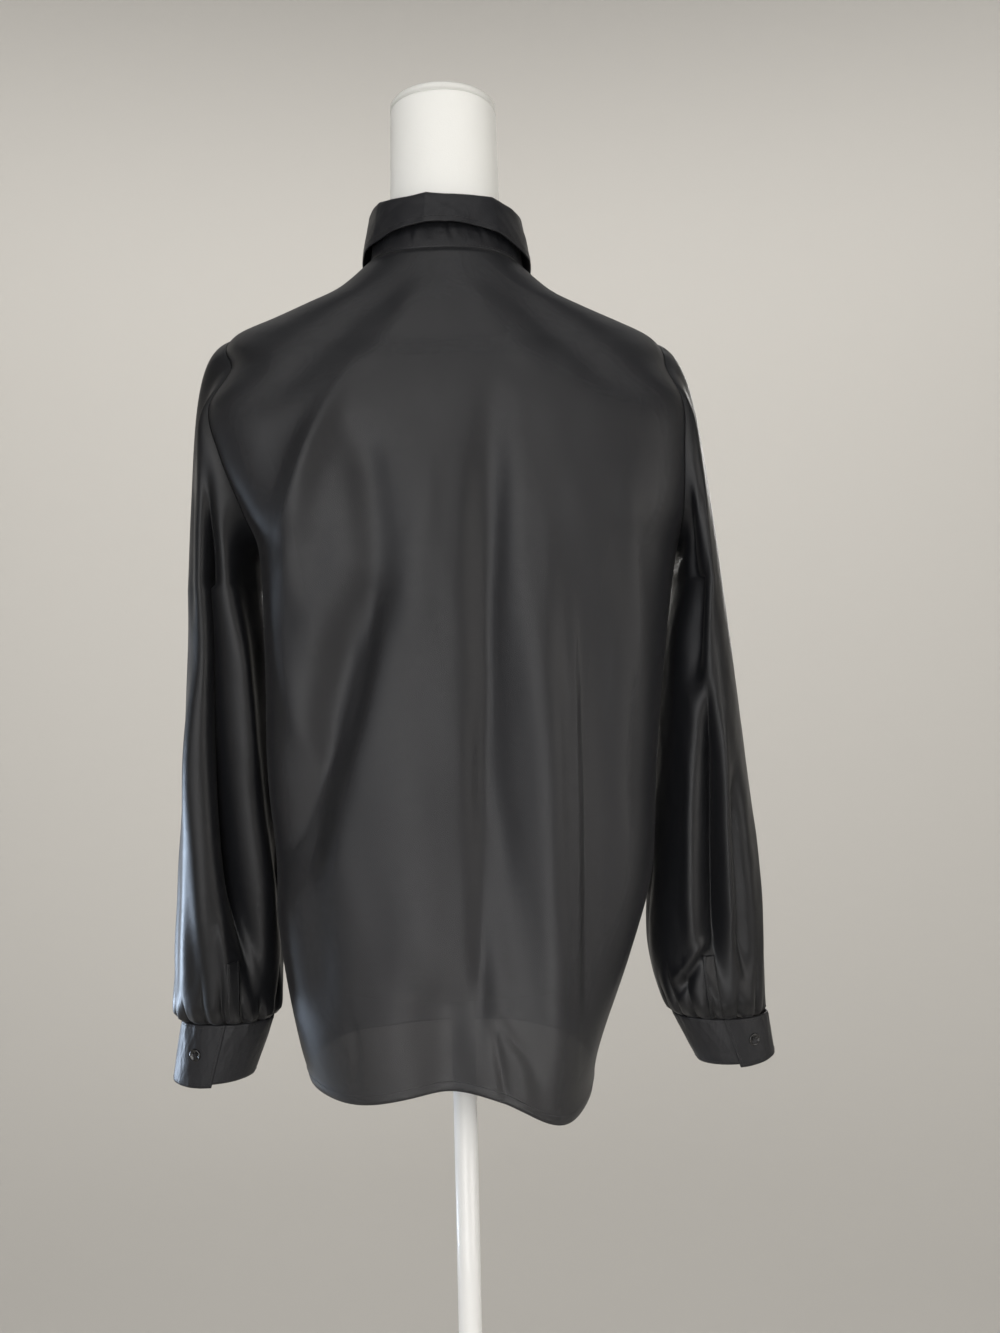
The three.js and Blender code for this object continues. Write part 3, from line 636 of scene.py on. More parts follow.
def armholeSeam(side, degrees):
    turn = np.radians(degrees)
    behind = np.sin(turn) >= 0
    climb = np.where(behind, math.pi - turn, turn - math.pi)
    level = armholeLevel(climb) + np.cos(climb) * cloth["seamGap"] / 8
    section = sectionAt(bodySections, level)
    inset = np.sin(climb) * 2 * cloth["seamGap"] / (section["back"] + section["front"])
    depth = np.where(behind, body["armholeBack"], -body["armholeFront"])
    cut = depth * np.sin(climb) - np.where(behind, inset, -inset)
    bodyTurn = signs[side] * (math.pi / 2 - cut)
    return bodyPoint(level, bodyTurn), climb, behind


def sleeveGrid(side):
    sections, sign = sleeveSections[side], signs[side]
    degrees = np.arange(sleeves["columns"]) * 360 / sleeves["columns"]
    share = np.linspace(0, 1, sleeves["levelRows"])
    turns, z = np.meshgrid(degrees, mix(sections["z"][0], sleeves["top"], share ** sleeves["spread"]))
    low = sleevePoint(side, turns, z)
    # the head: a curve from the top level ring out over the shoulder to the armhole
    seam, climb, behind = armholeSeam(side, degrees)
    top = {name: np.full(len(degrees), column[-1]) for name, column in sections.items()}
    ring = ovalPoint(side, top, degrees, sleeves["top"])
    high = (1 - np.cos(climb)) / 2
    rise = seam[:, 2] - ring[:, 2]
    leave = seam + place(
        sign * mix(9, headSpread[side], high * high),
        np.where(behind, 4, -4) * np.sin(climb),
        mix(-5, -8, high),
    )
    arrive = ring + place(-sign * headLean[side] * rise, 0, mix(0.4, 0.79, high) * rise)
    t = np.linspace(0, 1, sleeves["headRows"] + 1)[1:, None, None]
    head = ring * (1 - t) ** 3 + 3 * arrive * t * (1 - t) ** 2 + 3 * leave * t * t * (1 - t) + seam * t**3
    fade = np.sin(math.pi / 2 * (1 - t[..., 0]))
    out = place(sign * np.cos(np.radians(degrees)), np.sin(np.radians(degrees)), 0)
    head = head + out * (fade * sleeveLift(side, degrees, head[..., 2]))[..., None]
    grid = np.concatenate([low, head])
    return grid if side == "left" else grid[:, ::-1]


sleeveGrids = {side: sleeveGrid(side) for side in signs}
sleevePieces = {
    side: clothPiece(f"sleeve{side.title()}", grid, sleeveShadedBlack, cloth["thickness"], closed=True)
    for side, grid in sleeveGrids.items()
}
print("sleeves made", *(round(areaOf(g, True), 4) for g in sleeveGrids.values()))


# The cuffs and the bound slits above them

cuffs = {
    "left": {
        "top": 687.1, "innerTop": 178, "outerTop": 264, "innerLow": 197.5, "outerLow": 273,
        "zInnerLow": 634, "zOuterLow": 631, "slit": 96, "button": 64, "strip": 8,
    },
    "right": {
        "top": 682.1, "innerTop": 197, "outerTop": 285.5, "innerLow": 219, "outerLow": 292,
        "zInnerLow": 638, "zOuterLow": 644, "slit": 92, "button": 61, "strip": 7,
    },
}
cuffHalfDepth, cuffLap, cuffRows, cuffColumns, cuffDip = 28, 17, 30, 220, 3
# a strip is one of the solid sleeve's columns wide
strip = {"columns": 9, "rows": 40, "solidColumns": 28, "bottom": 2.5, "top": 62, "lift": 1.3 * cloth["wall"]}


def cuffPoint(side, share, degrees, lift=0.0):
    cuff = cuffs[side]
    oval = {
        "inner": mix(cuff["innerLow"], cuff["innerTop"], share),
        "outer": mix(cuff["outerLow"], cuff["outerTop"], share),
        "front": 1 - cuffHalfDepth,
        "back": 1 + cuffHalfDepth,
    }
    low = mix(cuff["zInnerLow"], cuff["zOuterLow"], (1 + np.cos(np.radians(degrees))) / 2)
    # the overlapping end hangs lower
    low = low - cuffDip * smooth(degrees, cuff["slit"] + 270, cuff["slit"] + 360)
    return ovalPoint(side, oval, degrees, mix(low, cuff["top"], share), lift)


def cuffLift(side, share, degrees):
    # the underlap lies below, and the doubled cloth puffs between its stitched edges
    slit = cuffs[side]["slit"]
    under = -body["lapDrop"] * (1 - smooth(degrees, slit - 1.5, slit + 0.5))
    puff = 0.5 * np.sin(math.pi * np.clip(share, 0, 1)) ** 0.5
    seed = 31 if side == "left" else 37
    wavy = 0.8 * drift(degrees / 17, share * 2.4, seed) + 0.5 * drift(degrees / 5, share * 5, seed + 1)
    return under + puff + wavy * (0.4 + 0.6 * np.clip(share, 0, 1))


def cuffGrid(side):
    start, end = cuffs[side]["slit"] - cuffLap, cuffs[side]["slit"] + 360
    degrees, share = np.meshgrid(np.linspace(start, end, cuffColumns), np.linspace(0, 1, cuffRows))
    grid = cuffPoint(side, share, degrees, cuffLift(side, share, degrees))
    return grid if side == "left" else grid[:, ::-1]


def slitStripGrid(side):
    # a strip on the sleeve, from the cuff seam up beside the slit
    start, seam = cuffs[side]["strip"], sleeveSections[side]["z"][0]
    degrees = np.linspace(start, start + 1, strip["columns"]) * 360 / strip["solidColumns"]
    turns, z = np.meshgrid(degrees, seam + np.linspace(strip["bottom"], strip["top"], strip["rows"]))
    grid = sleevePoint(side, turns, z, strip["lift"])
    return grid if side == "left" else grid[:, ::-1]


cuffGrids = {side: cuffGrid(side) for side in signs}
stripGrids = {side: slitStripGrid(side) for side in signs}
cuffPieces = {
    side: clothPiece(f"cuff{side.title()}", grid, doubledBlack, cloth["doubled"])
    for side, grid in cuffGrids.items()
}
stripPieces = {
    side: clothPiece(f"sleevePlacket{side.title()}", g, sleeveShadedBlack, 0.8) for side, g in stripGrids.items()
}
print("cuffs made", *(round(areaOf(g), 4) for g in [*cuffGrids.values(), *stripGrids.values()]))


# The collar: its band and the leaf that rolls over it

collar = {
    "bandRise": (42, 40, 30), "bandLean": 6, "leafDrop": (22, 38, 50), "leafFlare": 0.7,
    "columns": 340, "bandRows": 26, "leafRows": 60, "crinkle": 0.55, "bandCrinkle": 0.9,
    # turn at the top, turn at the bottom, depth
    "bandCreases": [
        (0, -0.13, 1.3), (-0.34, -0.52, 1.1), (-0.62, -0.8, 0.9), (0.44, 0.36, 0.8), (0.8, 0.9, 0.8),
    ],
    # turn, height
    "breaks": [
        (0.18, 1.8), (-0.62, 1.3), (0.9, 1.1), (-1.25, 1), (1.7, 0.9), (-1.9, 0.9), (2.5, 0.8), (-2.6, 0.8),
    ],
}
# the leaf's section from its free edge to its seam, out and up from the band's top
leafSection = table("step out up drop", [
    (0, 13, 0, 1),
    (1, 11.6, 0, 0.72),
    (2, 9.6, 0, 0.42),
    (3, 7.4, 0, 0.14),
    (4, 5.6, 3.4, 0),
    (5, 3, 5.8, 0),
    (6, 0.4, 5.2, 0),
    (7, -1.4, 2.6, 0),
    (8, -1.6, 0.8, 0),
])


def bandPoint(turn, share, lift=0.0):
    level = np.full(np.shape(turn), float(body["neckLevel"]))
    neckline = sectionAt(bodySections, level)
    point = ringPoint(neckline, turn)
    point[..., 2] += cloth["seamGap"] + share * roundBody(*collar["bandRise"], turn)
    move = np.asarray(lift - cloth["seamGap"] - share * collar["bandLean"])
    return point + ringOut(neckline, turn) * move[..., None]


def leafPoint(step, turn):
    section = sectionAt(leafSection, step)
    flare = 1 + collar["leafFlare"] * roundBody(0, 0, 1, turn)
    out = np.where(section["out"] > 0, section["out"] * flare, section["out"])
    falling = 1 - smooth(step, 0, 3.5)
    # a crease near the middle of the back and slow waves along the edge
    wave = falling * (0.9 * np.sin(5 * turn + 0.8) + 0.6 * np.sin(11 * turn + 2))
    crease = falling * -1.1 * np.exp(-(((turn + 0.02 + 0.02 * step) / 0.05) ** 2))
    # the roll breaks at a few places, flat between them
    breaks = sum(depth * np.exp(-abs(turn - at) / 0.16) for at, depth in collar["breaks"])
    crinkle = collar["crinkle"] * drift(turn * 9, step * 1.1, 43)
    point = bandPoint(turn, np.ones_like(turn), out + wave + crease + breaks + crinkle)
    rolled = smooth(step, 2.5, 5) * (1 - smooth(step, 6, 8))
    drop = section["drop"] * roundBody(*collar["leafDrop"], turn)
    point[..., 2] += section["up"] - drop + rolled * breaks
    return point


neckLap = float(lapTurn(np.array(float(body["neckLevel"]))))
leafEnd = math.pi - neckLap
bandTurns = np.linspace(math.pi + neckLap, -math.pi - neckLap, collar["columns"])
bandTurnGrid, bandShares = np.meshgrid(bandTurns, np.linspace(0, 1, collar["bandRows"]))
bandLift = -body["lapDrop"] * smooth(bandTurnGrid, math.pi - 1.5 * neckLap, math.pi - neckLap)
bandWavy = collar["bandCrinkle"] * drift(bandTurnGrid * 12, bandShares * 3, 47) * np.sin(math.pi * bandShares)
for creaseTop, creaseBottom, depth in collar["bandCreases"]:
    away = abs(bandTurnGrid - mix(creaseBottom, creaseTop, bandShares)) / 0.035
    bandWavy = bandWavy - depth * np.sin(math.pi * bandShares) * np.exp(-away)
bandGrid = bandPoint(bandTurnGrid, bandShares, bandLift + bandWavy + 0.3 * np.sin(math.pi * bandShares))
leafTurns = np.linspace(leafEnd, -leafEnd, collar["columns"])
leafTurnGrid, leafSteps = np.meshgrid(leafTurns, np.linspace(0, leafSection["step"][-1], collar["leafRows"]))
leafGrid = leafPoint(leafSteps, leafTurnGrid)
bandPiece = clothPiece("collarStand", bandGrid, doubledBlack, cloth["doubled"])
leafPiece = clothPiece("collarFall", leafGrid, doubledBlack, cloth["doubled"])
print("collar made", round(areaOf(bandGrid), 4), round(areaOf(leafGrid), 4))


# The dress form and its stand

form = {"sides": 120, "rings": 150, "bottom": 716, "neckTop": 1530, "neckRadius": 49.5}
stand = {
    "poleRadius": 11, "hubRadius": 24, "hubHeight": 26, "baseRadius": 175, "baseThickness": 10, "gap": 0.3,
}
formSections = table(sectionColumns, [
    (0, 716, 716, 716, 716, 122, 122, 70, 76, 0.01),
    (1, 723, 723, 723, 723, 128, 128, 75, 81, 0.01),
    (10, 775, 775, 775, 775, 134, 134, 83, 88, 0.01),
    (22, 850, 850, 850, 850, 122, 122, 76, 84, 0.01),
    (32, 915, 915, 915, 915, 114, 114, 70, 84, 0.01),
    (44, 1000, 1000, 1000, 1000, 124, 124, 78, 104, 0.01),
    (58, 1100, 1100, 1100, 1100, 142, 142, 86, 124, 0.01),
    (70, 1172, 1172, 1172, 1166, 156, 158, 87, 112, 0.01),
    (80, 1228, 1232, 1228, 1214, 176, 176, 83, 98, 0.01),
    (86, 1262, 1272, 1264, 1240, 184, 182, 79, 90, 0.01),
    (90, 1286, 1300, 1290, 1256, 186, 183, 77, 87, 0.01),
    (92, 1296, 1315, 1304, 1263, 181, 177, 78, 88, 0.01),
    (94, 1311, 1331.3, 1320.3, 1273, 168, 165, 77, 88, 0.01),
    (96, 1329, 1343.8, 1332.8, 1285, 136, 134, 73, 84, 0.01),
    (98, 1348, 1357.8, 1347.3, 1301, 103, 104, 67, 78, 0.01),
    (100, 1373, 1381.5, 1372, 1325, 69, 70.5, 58, 66, 0.01),
    (102, 1396, 1402, 1396, 1352, 55.5, 55.5, 50.5, 56, 0.01),
    (105, 1425, 1430, 1427, 1395, 52, 52, 48.6, 51, 0.01),
    (110, 1530, 1530, 1530, 1530, 49.5, 49.5, 49.5, 49.5, 0.01),
])


def formPiece():
    levels = np.linspace(0, 110, form["rings"])[:, None]
    turns = np.linspace(0, -2 * math.pi, form["sides"], endpoint=False)[None, :]
    turns, levels = np.broadcast_arrays(turns, levels)
    points = ringPoint(sectionAt(formSections, levels), turns)
    return addMesh("formTorso", points, tubeFaces(*points.shape[:2]), jerseyWhite)


def turned(name, profile, material, z=0.0, sides=96):
    # a turned piece round Z, from (radius, height) pairs; a radius of 0 closes it
    points, rings = [], []
    for radius, height in profile:
        if radius == 0:
            rings.append([len(points)] * sides)
            points.append((0, 0, z + height))
        else:
            rings.append(list(range(len(points), len(points) + sides)))
            angles = np.linspace(0, 2 * math.pi, sides, endpoint=False)
            points += [(radius * math.cos(a), radius * math.sin(a), z + height) for a in angles]
    faces = []
    for low, high in zip(rings, rings[1:]):
        for j in range(sides):
            face = (low[j], low[(j + 1) % sides], high[(j + 1) % sides], high[j])
            faces.append(tuple(dict.fromkeys(face)))
    return addMesh(name, points, faces, material)


def roundedEdges(obj, width):
    bevel = obj.modifiers.new("rounded", "BEVEL")
    bevel.width, bevel.segments = width * metre, 3
    bevel.limit_method, bevel.angle_limit = "ANGLE", math.radians(35)
    return obj


formTorso = roundedEdges(formPiece(), 3)
r = form["neckRadius"]
neckCap = turned(
    "formNeckCap",
    [(0, 0), (r, 0), (r, 5), (0.97 * r, 6.6), (0.8 * r, 9), (0.5 * r, 10.4), (0, 11)],
    capWhite,
    form["neckTop"] + stand["gap"],
)
poleBottom, poleTop = stand["baseThickness"] + stand["gap"], form["bottom"] - stand["gap"]
r = stand["poleRadius"]
pole = turned(
    "standPole", [(0, poleBottom), (r, poleBottom), (r, poleTop), (0, poleTop)], lacquerWhite, sides=48
)
bore, r, top = stand["poleRadius"] + stand["gap"], stand["hubRadius"], stand["hubHeight"]
hub = turned(
    "standHub",
    [(bore, 0), (r, 0), (r, top - 6), (r - 5, top), (bore, top), (bore, 0)],
    lacquerWhite,
    poleBottom,
    sides=64,
)
r, top = stand["baseRadius"], stand["baseThickness"]
base = turned(
    "standBase",
    [(0, 0), (r - 3, 0), (r - 0.8, 0.8), (r, 3), (r - 0.8, 6), (r - 3, 7), (54, top), (0, top)],
    lacquerWhite,
    sides=128,
)
print("form and stand made")


# What repeats: buttons and stitches, set along points by Geometry Nodes


def scatterTree():
    # puts one piece on every point, turned so that its Z follows `out` and its X follows `along`
    group = nodeGroup(
        "set pieces on points",
        [
            ("Points", "NodeSocketGeometry", None),
            ("Piece", "NodeSocketObject", None),
            ("Size", "NodeSocketFloat", 1.0),
            ("Material", "NodeSocketMaterial", None),
        ],
        [("Geometry", "NodeSocketGeometry", None)],
        "GeometryNodeTree",
    )
    nodes, links = group.nodes, group.links
    given, result = nodes.new("NodeGroupInput"), nodes.new("NodeGroupOutput")
    piece = nodes.new("GeometryNodeObjectInfo")
    links.new(given.outputs["Piece"], piece.inputs["Object"])
    turn = None
    for attribute, axis in (("out", "Z"), ("along", "X")):
        read = nodes.new("GeometryNodeInputNamedAttribute")
        read.data_type = "FLOAT_VECTOR"
        read.inputs["Name"].default_value = attribute
        align = nodes.new("FunctionNodeAlignRotationToVector")
        align.axis = axis
        links.new(read.outputs["Attribute"], align.inputs["Vector"])
        if turn is None:
            align.pivot_axis = "AUTO"
        else:
            align.pivot_axis = "Z"
            links.new(turn, align.inputs["Rotation"])
        turn = align.outputs["Rotation"]
    instances = nodes.new("GeometryNodeInstanceOnPoints")
    links.new(given.outputs["Points"], instances.inputs["Points"])
    links.new(piece.outputs["Geometry"], instances.inputs["Instance"])
    links.new(turn, instances.inputs["Rotation"])
    links.new(given.outputs["Size"], instances.inputs["Scale"])
    realize, paint = nodes.new("GeometryNodeRealizeInstances"), nodes.new("GeometryNodeSetMaterial")
    links.new(instances.outputs["Instances"], realize.inputs["Geometry"])
    links.new(realize.outputs["Geometry"], paint.inputs["Geometry"])
    links.new(given.outputs["Material"], paint.inputs["Material"])
    links.new(paint.outputs["Geometry"], result.inputs["Geometry"])
    return group


scatter = scatterTree()


def setOnPoints(name, points, outs, alongs, piece, material, size=1.0):
    mesh = bpy.data.meshes.new(name)
    mesh.from_pydata([tuple(p) for p in np.asarray(points).reshape(-1, 3) * metre], [], [])
    for attribute, vectors in (("out", outs), ("along", alongs)):
        layer = mesh.attributes.new(attribute, "FLOAT_VECTOR", "POINT")
        layer.data.foreach_set("vector", np.asarray(vectors, float).ravel())
    carrier = bpy.data.objects.new(name + "Points", mesh)
    bpy.context.collection.objects.link(carrier)
    modifier = carrier.modifiers.new("set", "NODES")
    modifier.node_group = scatter
    values = {"Piece": piece, "Size": size, "Material": material}
    for socket in scatter.interface.items_tree:
        if socket.in_out == "INPUT" and socket.name in values:
            modifier[socket.identifier] = values[socket.name]
    graph = bpy.context.evaluated_depsgraph_get()
    made = bpy.data.meshes.new_from_object(carrier.evaluated_get(graph))
    bpy.data.objects.remove(carrier)
    obj = bpy.data.objects.new(name, made)
    made.name = name
    bpy.context.collection.objects.link(obj)
    made.polygons.foreach_set("use_smooth", [True] * len(made.polygons))
    return obj


button = {"radius": 5.8, "thickness": 2.4, "holeRadius": 0.85, "holeOffset": 1.75, "seat": 0.9}


def masterButton():
    r, t = button["radius"], button["thickness"]
    profile = [
        (0, 0), (r - 0.9, 0), (r - 0.25, 0.5), (r, 1.2), (r - 0.25, t - 0.35),
        (r - 0.9, t), (r - 1.5, t - 0.25), (r - 2.1, t - 0.8), (0, t - 0.9),
    ]
    drill, reach = button["holeRadius"], button["holeOffset"] * metre
    disc = turned("masterButton", profile, buttonBlack, sides=40)
    for quarter in range(4):
        angle = math.radians(45 + 90 * quarter)
        hole = turned("hole", [(0, -1), (drill, -1), (drill, t + 1), (0, t + 1)], buttonBlack, sides=14)
        hole.data.transform(Matrix.Translation((reach * math.cos(angle), reach * math.sin(angle), 0)))
        cut = disc.modifiers.new("hole", "BOOLEAN")
        cut.operation, cut.object, cut.solver = "DIFFERENCE", hole, "EXACT"
        graph = bpy.context.evaluated_depsgraph_get()
        drilled = bpy.data.meshes.new_from_object(disc.evaluated_get(graph))
        disc.modifiers.remove(cut)
        disc.data = drilled
        bpy.data.objects.remove(hole)
    return disc


def masterThread():
    # two crossed runs of thread through the button's four holes
    points, faces, up = [], [], np.array((0, 0, 1.0))
    for angle in (45, 135):
        direction = np.array((math.cos(math.radians(angle)), math.sin(math.radians(angle)), 0))
        across = np.array((-direction[1], direction[0], 0))
        rings = []
        for s in np.linspace(-1, 1, 7):
            height = button["thickness"] - 0.55 - 1.3 * s**4
            centre = direction * s * button["holeOffset"] * 1.05 + up * height
            rings.append(len(points))
            points += [
                centre + 0.34 * (across * math.cos(a) * 1.3 + up * math.sin(a))
                for a in np.linspace(0, 2 * math.pi, 8, endpoint=False)
            ]
        for low, high in zip(rings, rings[1:]):
            faces += [(low + j, low + (j + 1) % 8, high + (j + 1) % 8, high + j) for j in range(8)]
        faces += [tuple(rings[0] + j for j in reversed(range(8))), tuple(rings[-1] + j for j in range(8))]
    return addMesh("masterThread", points, faces, threadBlack)


def masterStitch():
    # one stitch: a short thick thread that dips at its ends
    length, points = 2.3, []
    # share of half the length, radius
    stations = ((-1, 0.078), (-0.75, 0.26), (0, 0.26), (0.75, 0.26), (1, 0.078))
    for s, radius in stations:
        points += [
            (s * length / 2, radius * math.cos(a), radius * math.sin(a) - 0.2 * s * s)
            for a in np.linspace(0, 2 * math.pi, 6, endpoint=False)
        ]
    return addMesh("masterStitch", points, tubeFaces(len(stations), 6), threadBlack)


def gridNormals(grid):
    return unit(np.cross(np.gradient(grid, axis=1), np.gradient(grid, axis=0)))


stitch = {"pitch": 3.1, "rise": 0.12}


def alongPath(points, outs):
    # even places along a path of points, with the cloth's direction out and the path's own
    steps = np.linalg.norm(np.diff(points, axis=0), axis=1)
    length = np.concatenate([[0], np.cumsum(steps)])
    places = np.arange(stitch["pitch"] / 2, length[-1], stitch["pitch"])
    at = np.stack([np.interp(places, length, points[:, k]) for k in range(3)], axis=1)
    out = unit(np.stack([np.interp(places, length, outs[:, k]) for k in range(3)], axis=1))
    ahead = np.stack([np.interp(places + 0.5, length, points[:, k]) for k in range(3)], axis=1)
    back = np.stack([np.interp(places - 0.5, length, points[:, k]) for k in range(3)], axis=1)
    return at + out * stitch["rise"], out, unit(ahead - back)


def rowPath(grid, height):
    # a path at one distance above a grid's lowest row, from each column's own arc length
    normals = gridNormals(grid)
    arcs = arcLengths(grid, 0)
    points, outs = [], []
    for j in range(grid.shape[1]):
        points.append([np.interp(height, arcs[:, j], grid[:, j, k]) for k in range(3)])
        outs.append([np.interp(height, arcs[:, j], normals[:, j, k]) for k in range(3)])
    return alongPath(np.array(points), unit(np.array(outs)))


def columnPath(grid, distance, rows=slice(None)):
    # a path at one distance from a grid's first column, or from its last if the distance is negative
    normals = gridNormals(grid)
    if distance < 0:
        grid, normals, distance = grid[:, ::-1], normals[:, ::-1], -distance
    arcs = arcLengths(grid, 1)
    points, outs = [], []
    for i in range(len(grid)):
        points.append([np.interp(distance, arcs[i], grid[i, :, k]) for k in range(3)])
        outs.append([np.interp(distance, arcs[i], normals[i, :, k]) for k in range(3)])
    return alongPath(np.array(points)[rows], unit(np.array(outs))[rows])


def setStitches(name, paths):
    points, outs, alongs = (np.concatenate([p[k] for p in paths]) for k in range(3))
    return setOnPoints(name, points, outs, alongs, stitchMaster, threadBlack)


stitchMaster = masterStitch()
stitchPieces = {
    "back": setStitches("hemStitchesBack", [rowPath(backGrid, body["hemWidth"])]),
    "right": setStitches(
        "frontStitchesRight",
        [rowPath(rightGrid, body["hemWidth"]), columnPath(rightGrid, -5), columnPath(rightGrid, -30)],
    ),
    "left": setStitches("frontStitchesLeft", [rowPath(leftGrid, body["hemWidth"])]),
    "band": setStitches("collarStandStitches", [rowPath(bandGrid, 2.5)]),
    "leaf": setStitches(
        "collarFallStitches",
        [rowPath(leafGrid, 5), columnPath(leafGrid, 5, slice(2, 26)), columnPath(leafGrid, -5, slice(2, 26))],
    ),
}
for side, sign in signs.items():
    grid = cuffGrids[side]
    stitchPieces["cuff" + side] = setStitches(
        f"cuffStitches{side.title()}",
        [rowPath(grid, 3), rowPath(grid[::-1, ::-1], 3), columnPath(grid, -3 * sign)],
    )
    stitchPieces["strip" + side] = setStitches(
        f"placketStitches{side.title()}", [columnPath(stripGrids[side], 2), columnPath(stripGrids[side], -2)]
    )

buttonMaster, threadMaster = masterButton(), masterThread()
buttonLevels = np.array([95.4, 86.5, 73.5, 60, 46, 32, 18])


def addButtons(name, nodes, points, outs):
    alongs = unit(np.cross(outs, np.array((0.35, 0.2, 1.0))))
    seat = points + outs * button["seat"]
    discs = setOnPoints(name, seat, outs, alongs, buttonMaster, buttonBlack)
    threads = setOnPoints(name + "Thread", seat, outs, alongs, threadMaster, threadBlack)
    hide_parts(*nodes)
    return discs, threads


centre = np.full(len(buttonLevels), -math.pi)
frontButtons = addButtons(
    "frontButtons",
    [f"front_button_{i + 1}" for i in range(len(buttonLevels))],
    bodyPoint(buttonLevels, centre, 0.35),
    bodyOut(buttonLevels, centre),
)
bandAt = (np.array([-math.pi]), np.array([0.4]))
bandUp = bandPoint(bandAt[0], bandAt[1] + 0.1) - bandPoint(bandAt[0], bandAt[1] - 0.1)
bandAlong = bandPoint(bandAt[0] + 0.01, bandAt[1]) - bandPoint(bandAt[0] - 0.01, bandAt[1])
bandOut = unit(np.cross(bandUp, bandAlong))
bandButton = addButtons("bandButton", ["band_button"], bandPoint(*bandAt, 0.3), bandOut)
cuffButtons = {}
for side, cuff in cuffs.items():
    at = (np.array([0.5]), np.array([float(cuff["button"])]))
    point = cuffPoint(side, *at, cuffLift(side, *at))
    out = unit(cuffPoint(side, *at, np.array([1.0])) - cuffPoint(side, *at, np.array([0.0])))
    cuffButtons[side] = addButtons(f"cuffButton{side.title()}", [f"cuff_button_{side}"], point, out)
for master in (stitchMaster, buttonMaster, threadMaster):
    bpy.data.objects.remove(master)
print("buttons and stitches set")


# What each piece stands for and rides on

standsFor = {
    "back": backPiece, "front_right": rightPiece, "front_left": leftPiece,
    "collar_stand": bandPiece, "collar_fall": leafPiece,
    "sleeve_left": sleevePieces["left"], "sleeve_right": sleevePieces["right"],
    "cuff_left": cuffPieces["left"], "cuff_right": cuffPieces["right"],
    "sleeve_placket_left": stripPieces["left"], "sleeve_placket_right": stripPieces["right"],
    "form_torso": formTorso, "form_neck_cap": neckCap,
    "stand_pole": pole, "stand_hub": hub, "stand_base": base,
}
slots = {
    "form_torso": "form_jersey", "form_neck_cap": "form_cap",
    **dict.fromkeys(("stand_pole", "stand_hub", "stand_base"), "stand_lacquer"),
}
for node, piece in standsFor.items():
    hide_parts(node)
buttonSets = [frontButtons, bandButton, *cuffButtons.values()]
allPieces = [*standsFor.values(), *stitchPieces.values(), *(piece for pair in buttonSets for piece in pair)]
for piece in allPieces:
    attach(piece, "root")

print("pieces placed", len(allPieces))


# Floor, walls, light and camera

room = {"floorRadius": 1150, "radius": 3300, "height": 4200, "below": -0.5}
wall = plainMaterial("pale wall", (0.52, 0.505, 0.475), 0.95, grain=(14, 0.002))
# one surface: the floor, a wide quarter round and the wall, so that no edge shows behind the garment
cove = [
    (
        mix(room["floorRadius"], room["radius"], math.sin(angle)),
        room["below"] + (room["radius"] - room["floorRadius"]) * (1 - math.cos(angle)),
    )
    for angle in np.linspace(0, math.pi / 2, 25)
]
backdrop = turned("backdrop", [(0, room["below"]), *cove, (room["radius"], room["height"])], wall, sides=96)

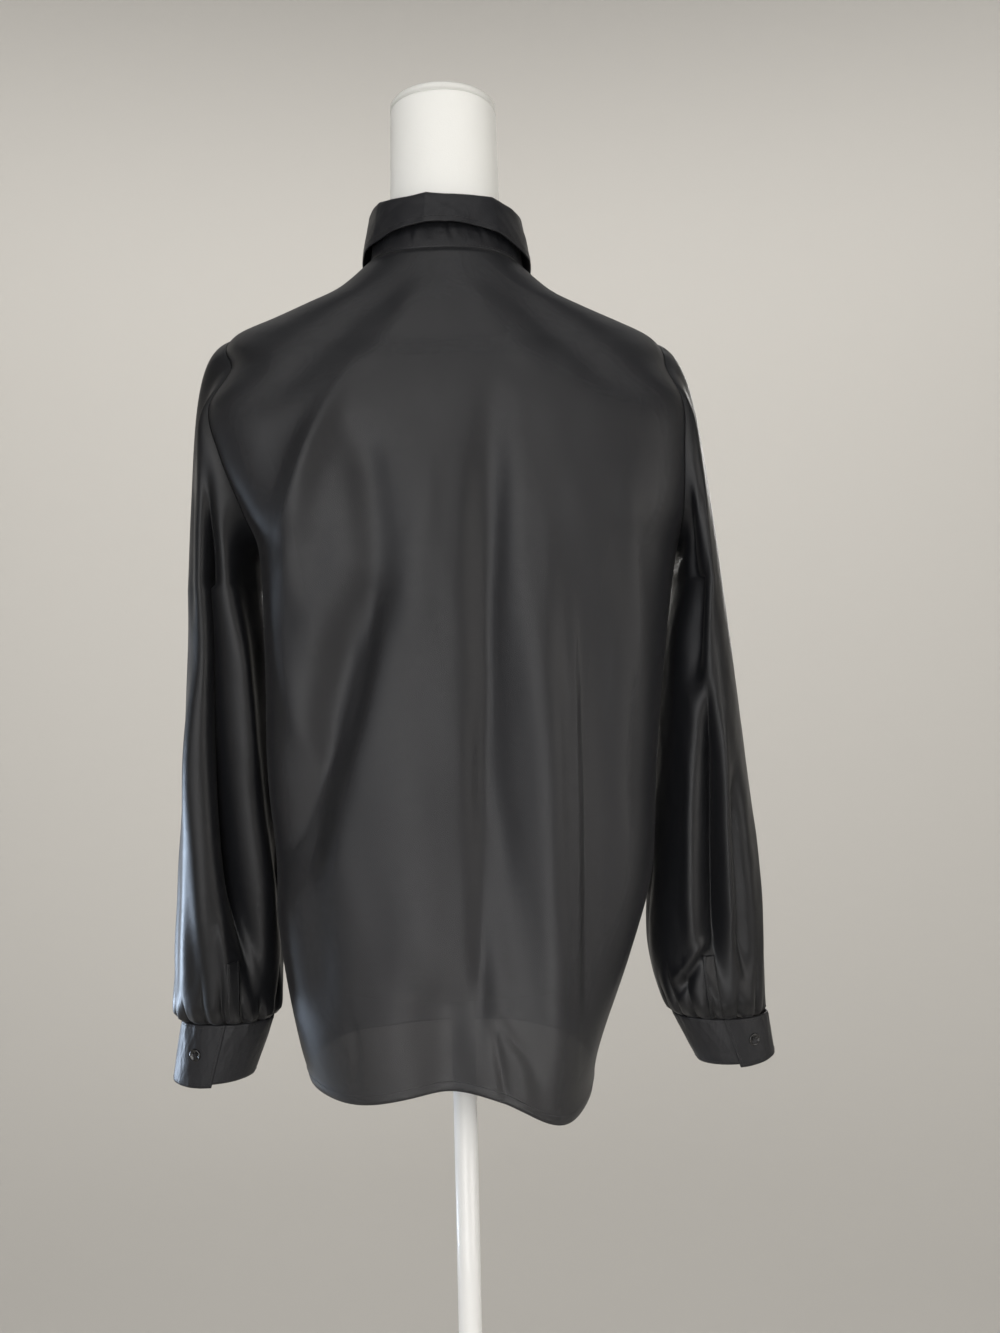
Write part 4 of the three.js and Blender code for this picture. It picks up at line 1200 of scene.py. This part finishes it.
lights = [
    # name, place, aim, size, watts, spread in degrees, colour
    ("key", (0.5, 2.6, 1.8), (0, 0, 1.0), (1.4, 1.2), 18, 180, (1, 0.985, 0.965)),
    ("keyLow", (0.25, 2.1, 0.64), (0, 0, 0.8), (1.1, 0.64), 8, 180, (0.98, 0.985, 1)),
    ("keyLeft", (1.3, 1.9, 1.2), (0, 0, 0.95), (0.7, 1.2), 4.5, 180, (0.86, 0.91, 1)),
    ("windowLow", (1.4, -0.4, 0.5), (0.27, 0, 0.80), (0.35, 0.5), 0.8, 32, (0.66, 0.8, 1)),
    ("floorLow", (-0.07, 0.95, 0.25), (-0.06, 0.1, 0.76), (0.3, 0.15), 0.07, 30, (1, 0.98, 0.96)),
    ("ceiling", (0, 1.2, 3.0), (0, 0, 1.2), (1.6, 1.6), 7.5, 180, (1, 0.99, 0.97)),
    ("fill", (-1.8, 1.3, 1.1), (0, 0, 0.92), (1.2, 1.2), 12, 180, (1, 0.97, 0.93)),
    ("front", (-0.5, -1.5, 1.45), (0, 0, 0.95), (0.8, 0.8), 3, 80, (1, 0.98, 0.96)),
    ("farWash", (0, 0.9, 2.9), (0, 3.3, 1.2), (3.0, 0.8), 26, 180, (1, 0.985, 0.97)),
    ("wallWash", (0, -0.9, 2.9), (0, -3.3, 1.2), (3.0, 0.8), 68, 180, (1, 0.985, 0.97)),
]
for name, where, aim, size, watts, spread, colour in lights:
    data = bpy.data.lights.new(name, "AREA")
    data.shape, data.size, data.size_y, data.energy, data.color = "RECTANGLE", *size, watts, colour
    data.spread = math.radians(spread)
    light = bpy.data.objects.new(name, data)
    light.location = where
    light.rotation_euler = (Vector(aim) - Vector(where)).to_track_quat("-Z", "Y").to_euler()
    bpy.context.collection.objects.link(light)

world = bpy.data.worlds.new("room light")
bpy.context.scene.world = world
world.use_nodes = True
world.node_tree.nodes["Background"].inputs["Color"].default_value = (0.9, 0.93, 1, 1)
world.node_tree.nodes["Background"].inputs["Strength"].default_value = 0.03
bpy.context.scene.view_settings.view_transform = "Standard"

view = {"place": (-42, 1020, 1010), "roll": -1.29, "focal": 1082, "imageHeight": 1333, "sensor": 36}
cameraData = bpy.data.cameras.new("camera")
cameraData.sensor_width = view["sensor"]
cameraData.lens = view["focal"] / view["imageHeight"] * view["sensor"]
camera = bpy.data.objects.new("camera", cameraData)
bpy.context.collection.objects.link(camera)
camera.matrix_world = (
    Matrix.Translation(Vector(view["place"]) * metre)
    @ Matrix.Rotation(math.pi, 4, "Z")
    @ Matrix.Rotation(math.pi / 2, 4, "X")
    @ Matrix.Rotation(math.radians(view["roll"]), 4, "Z")
)
bpy.context.scene.camera = camera
print("lights and camera set")
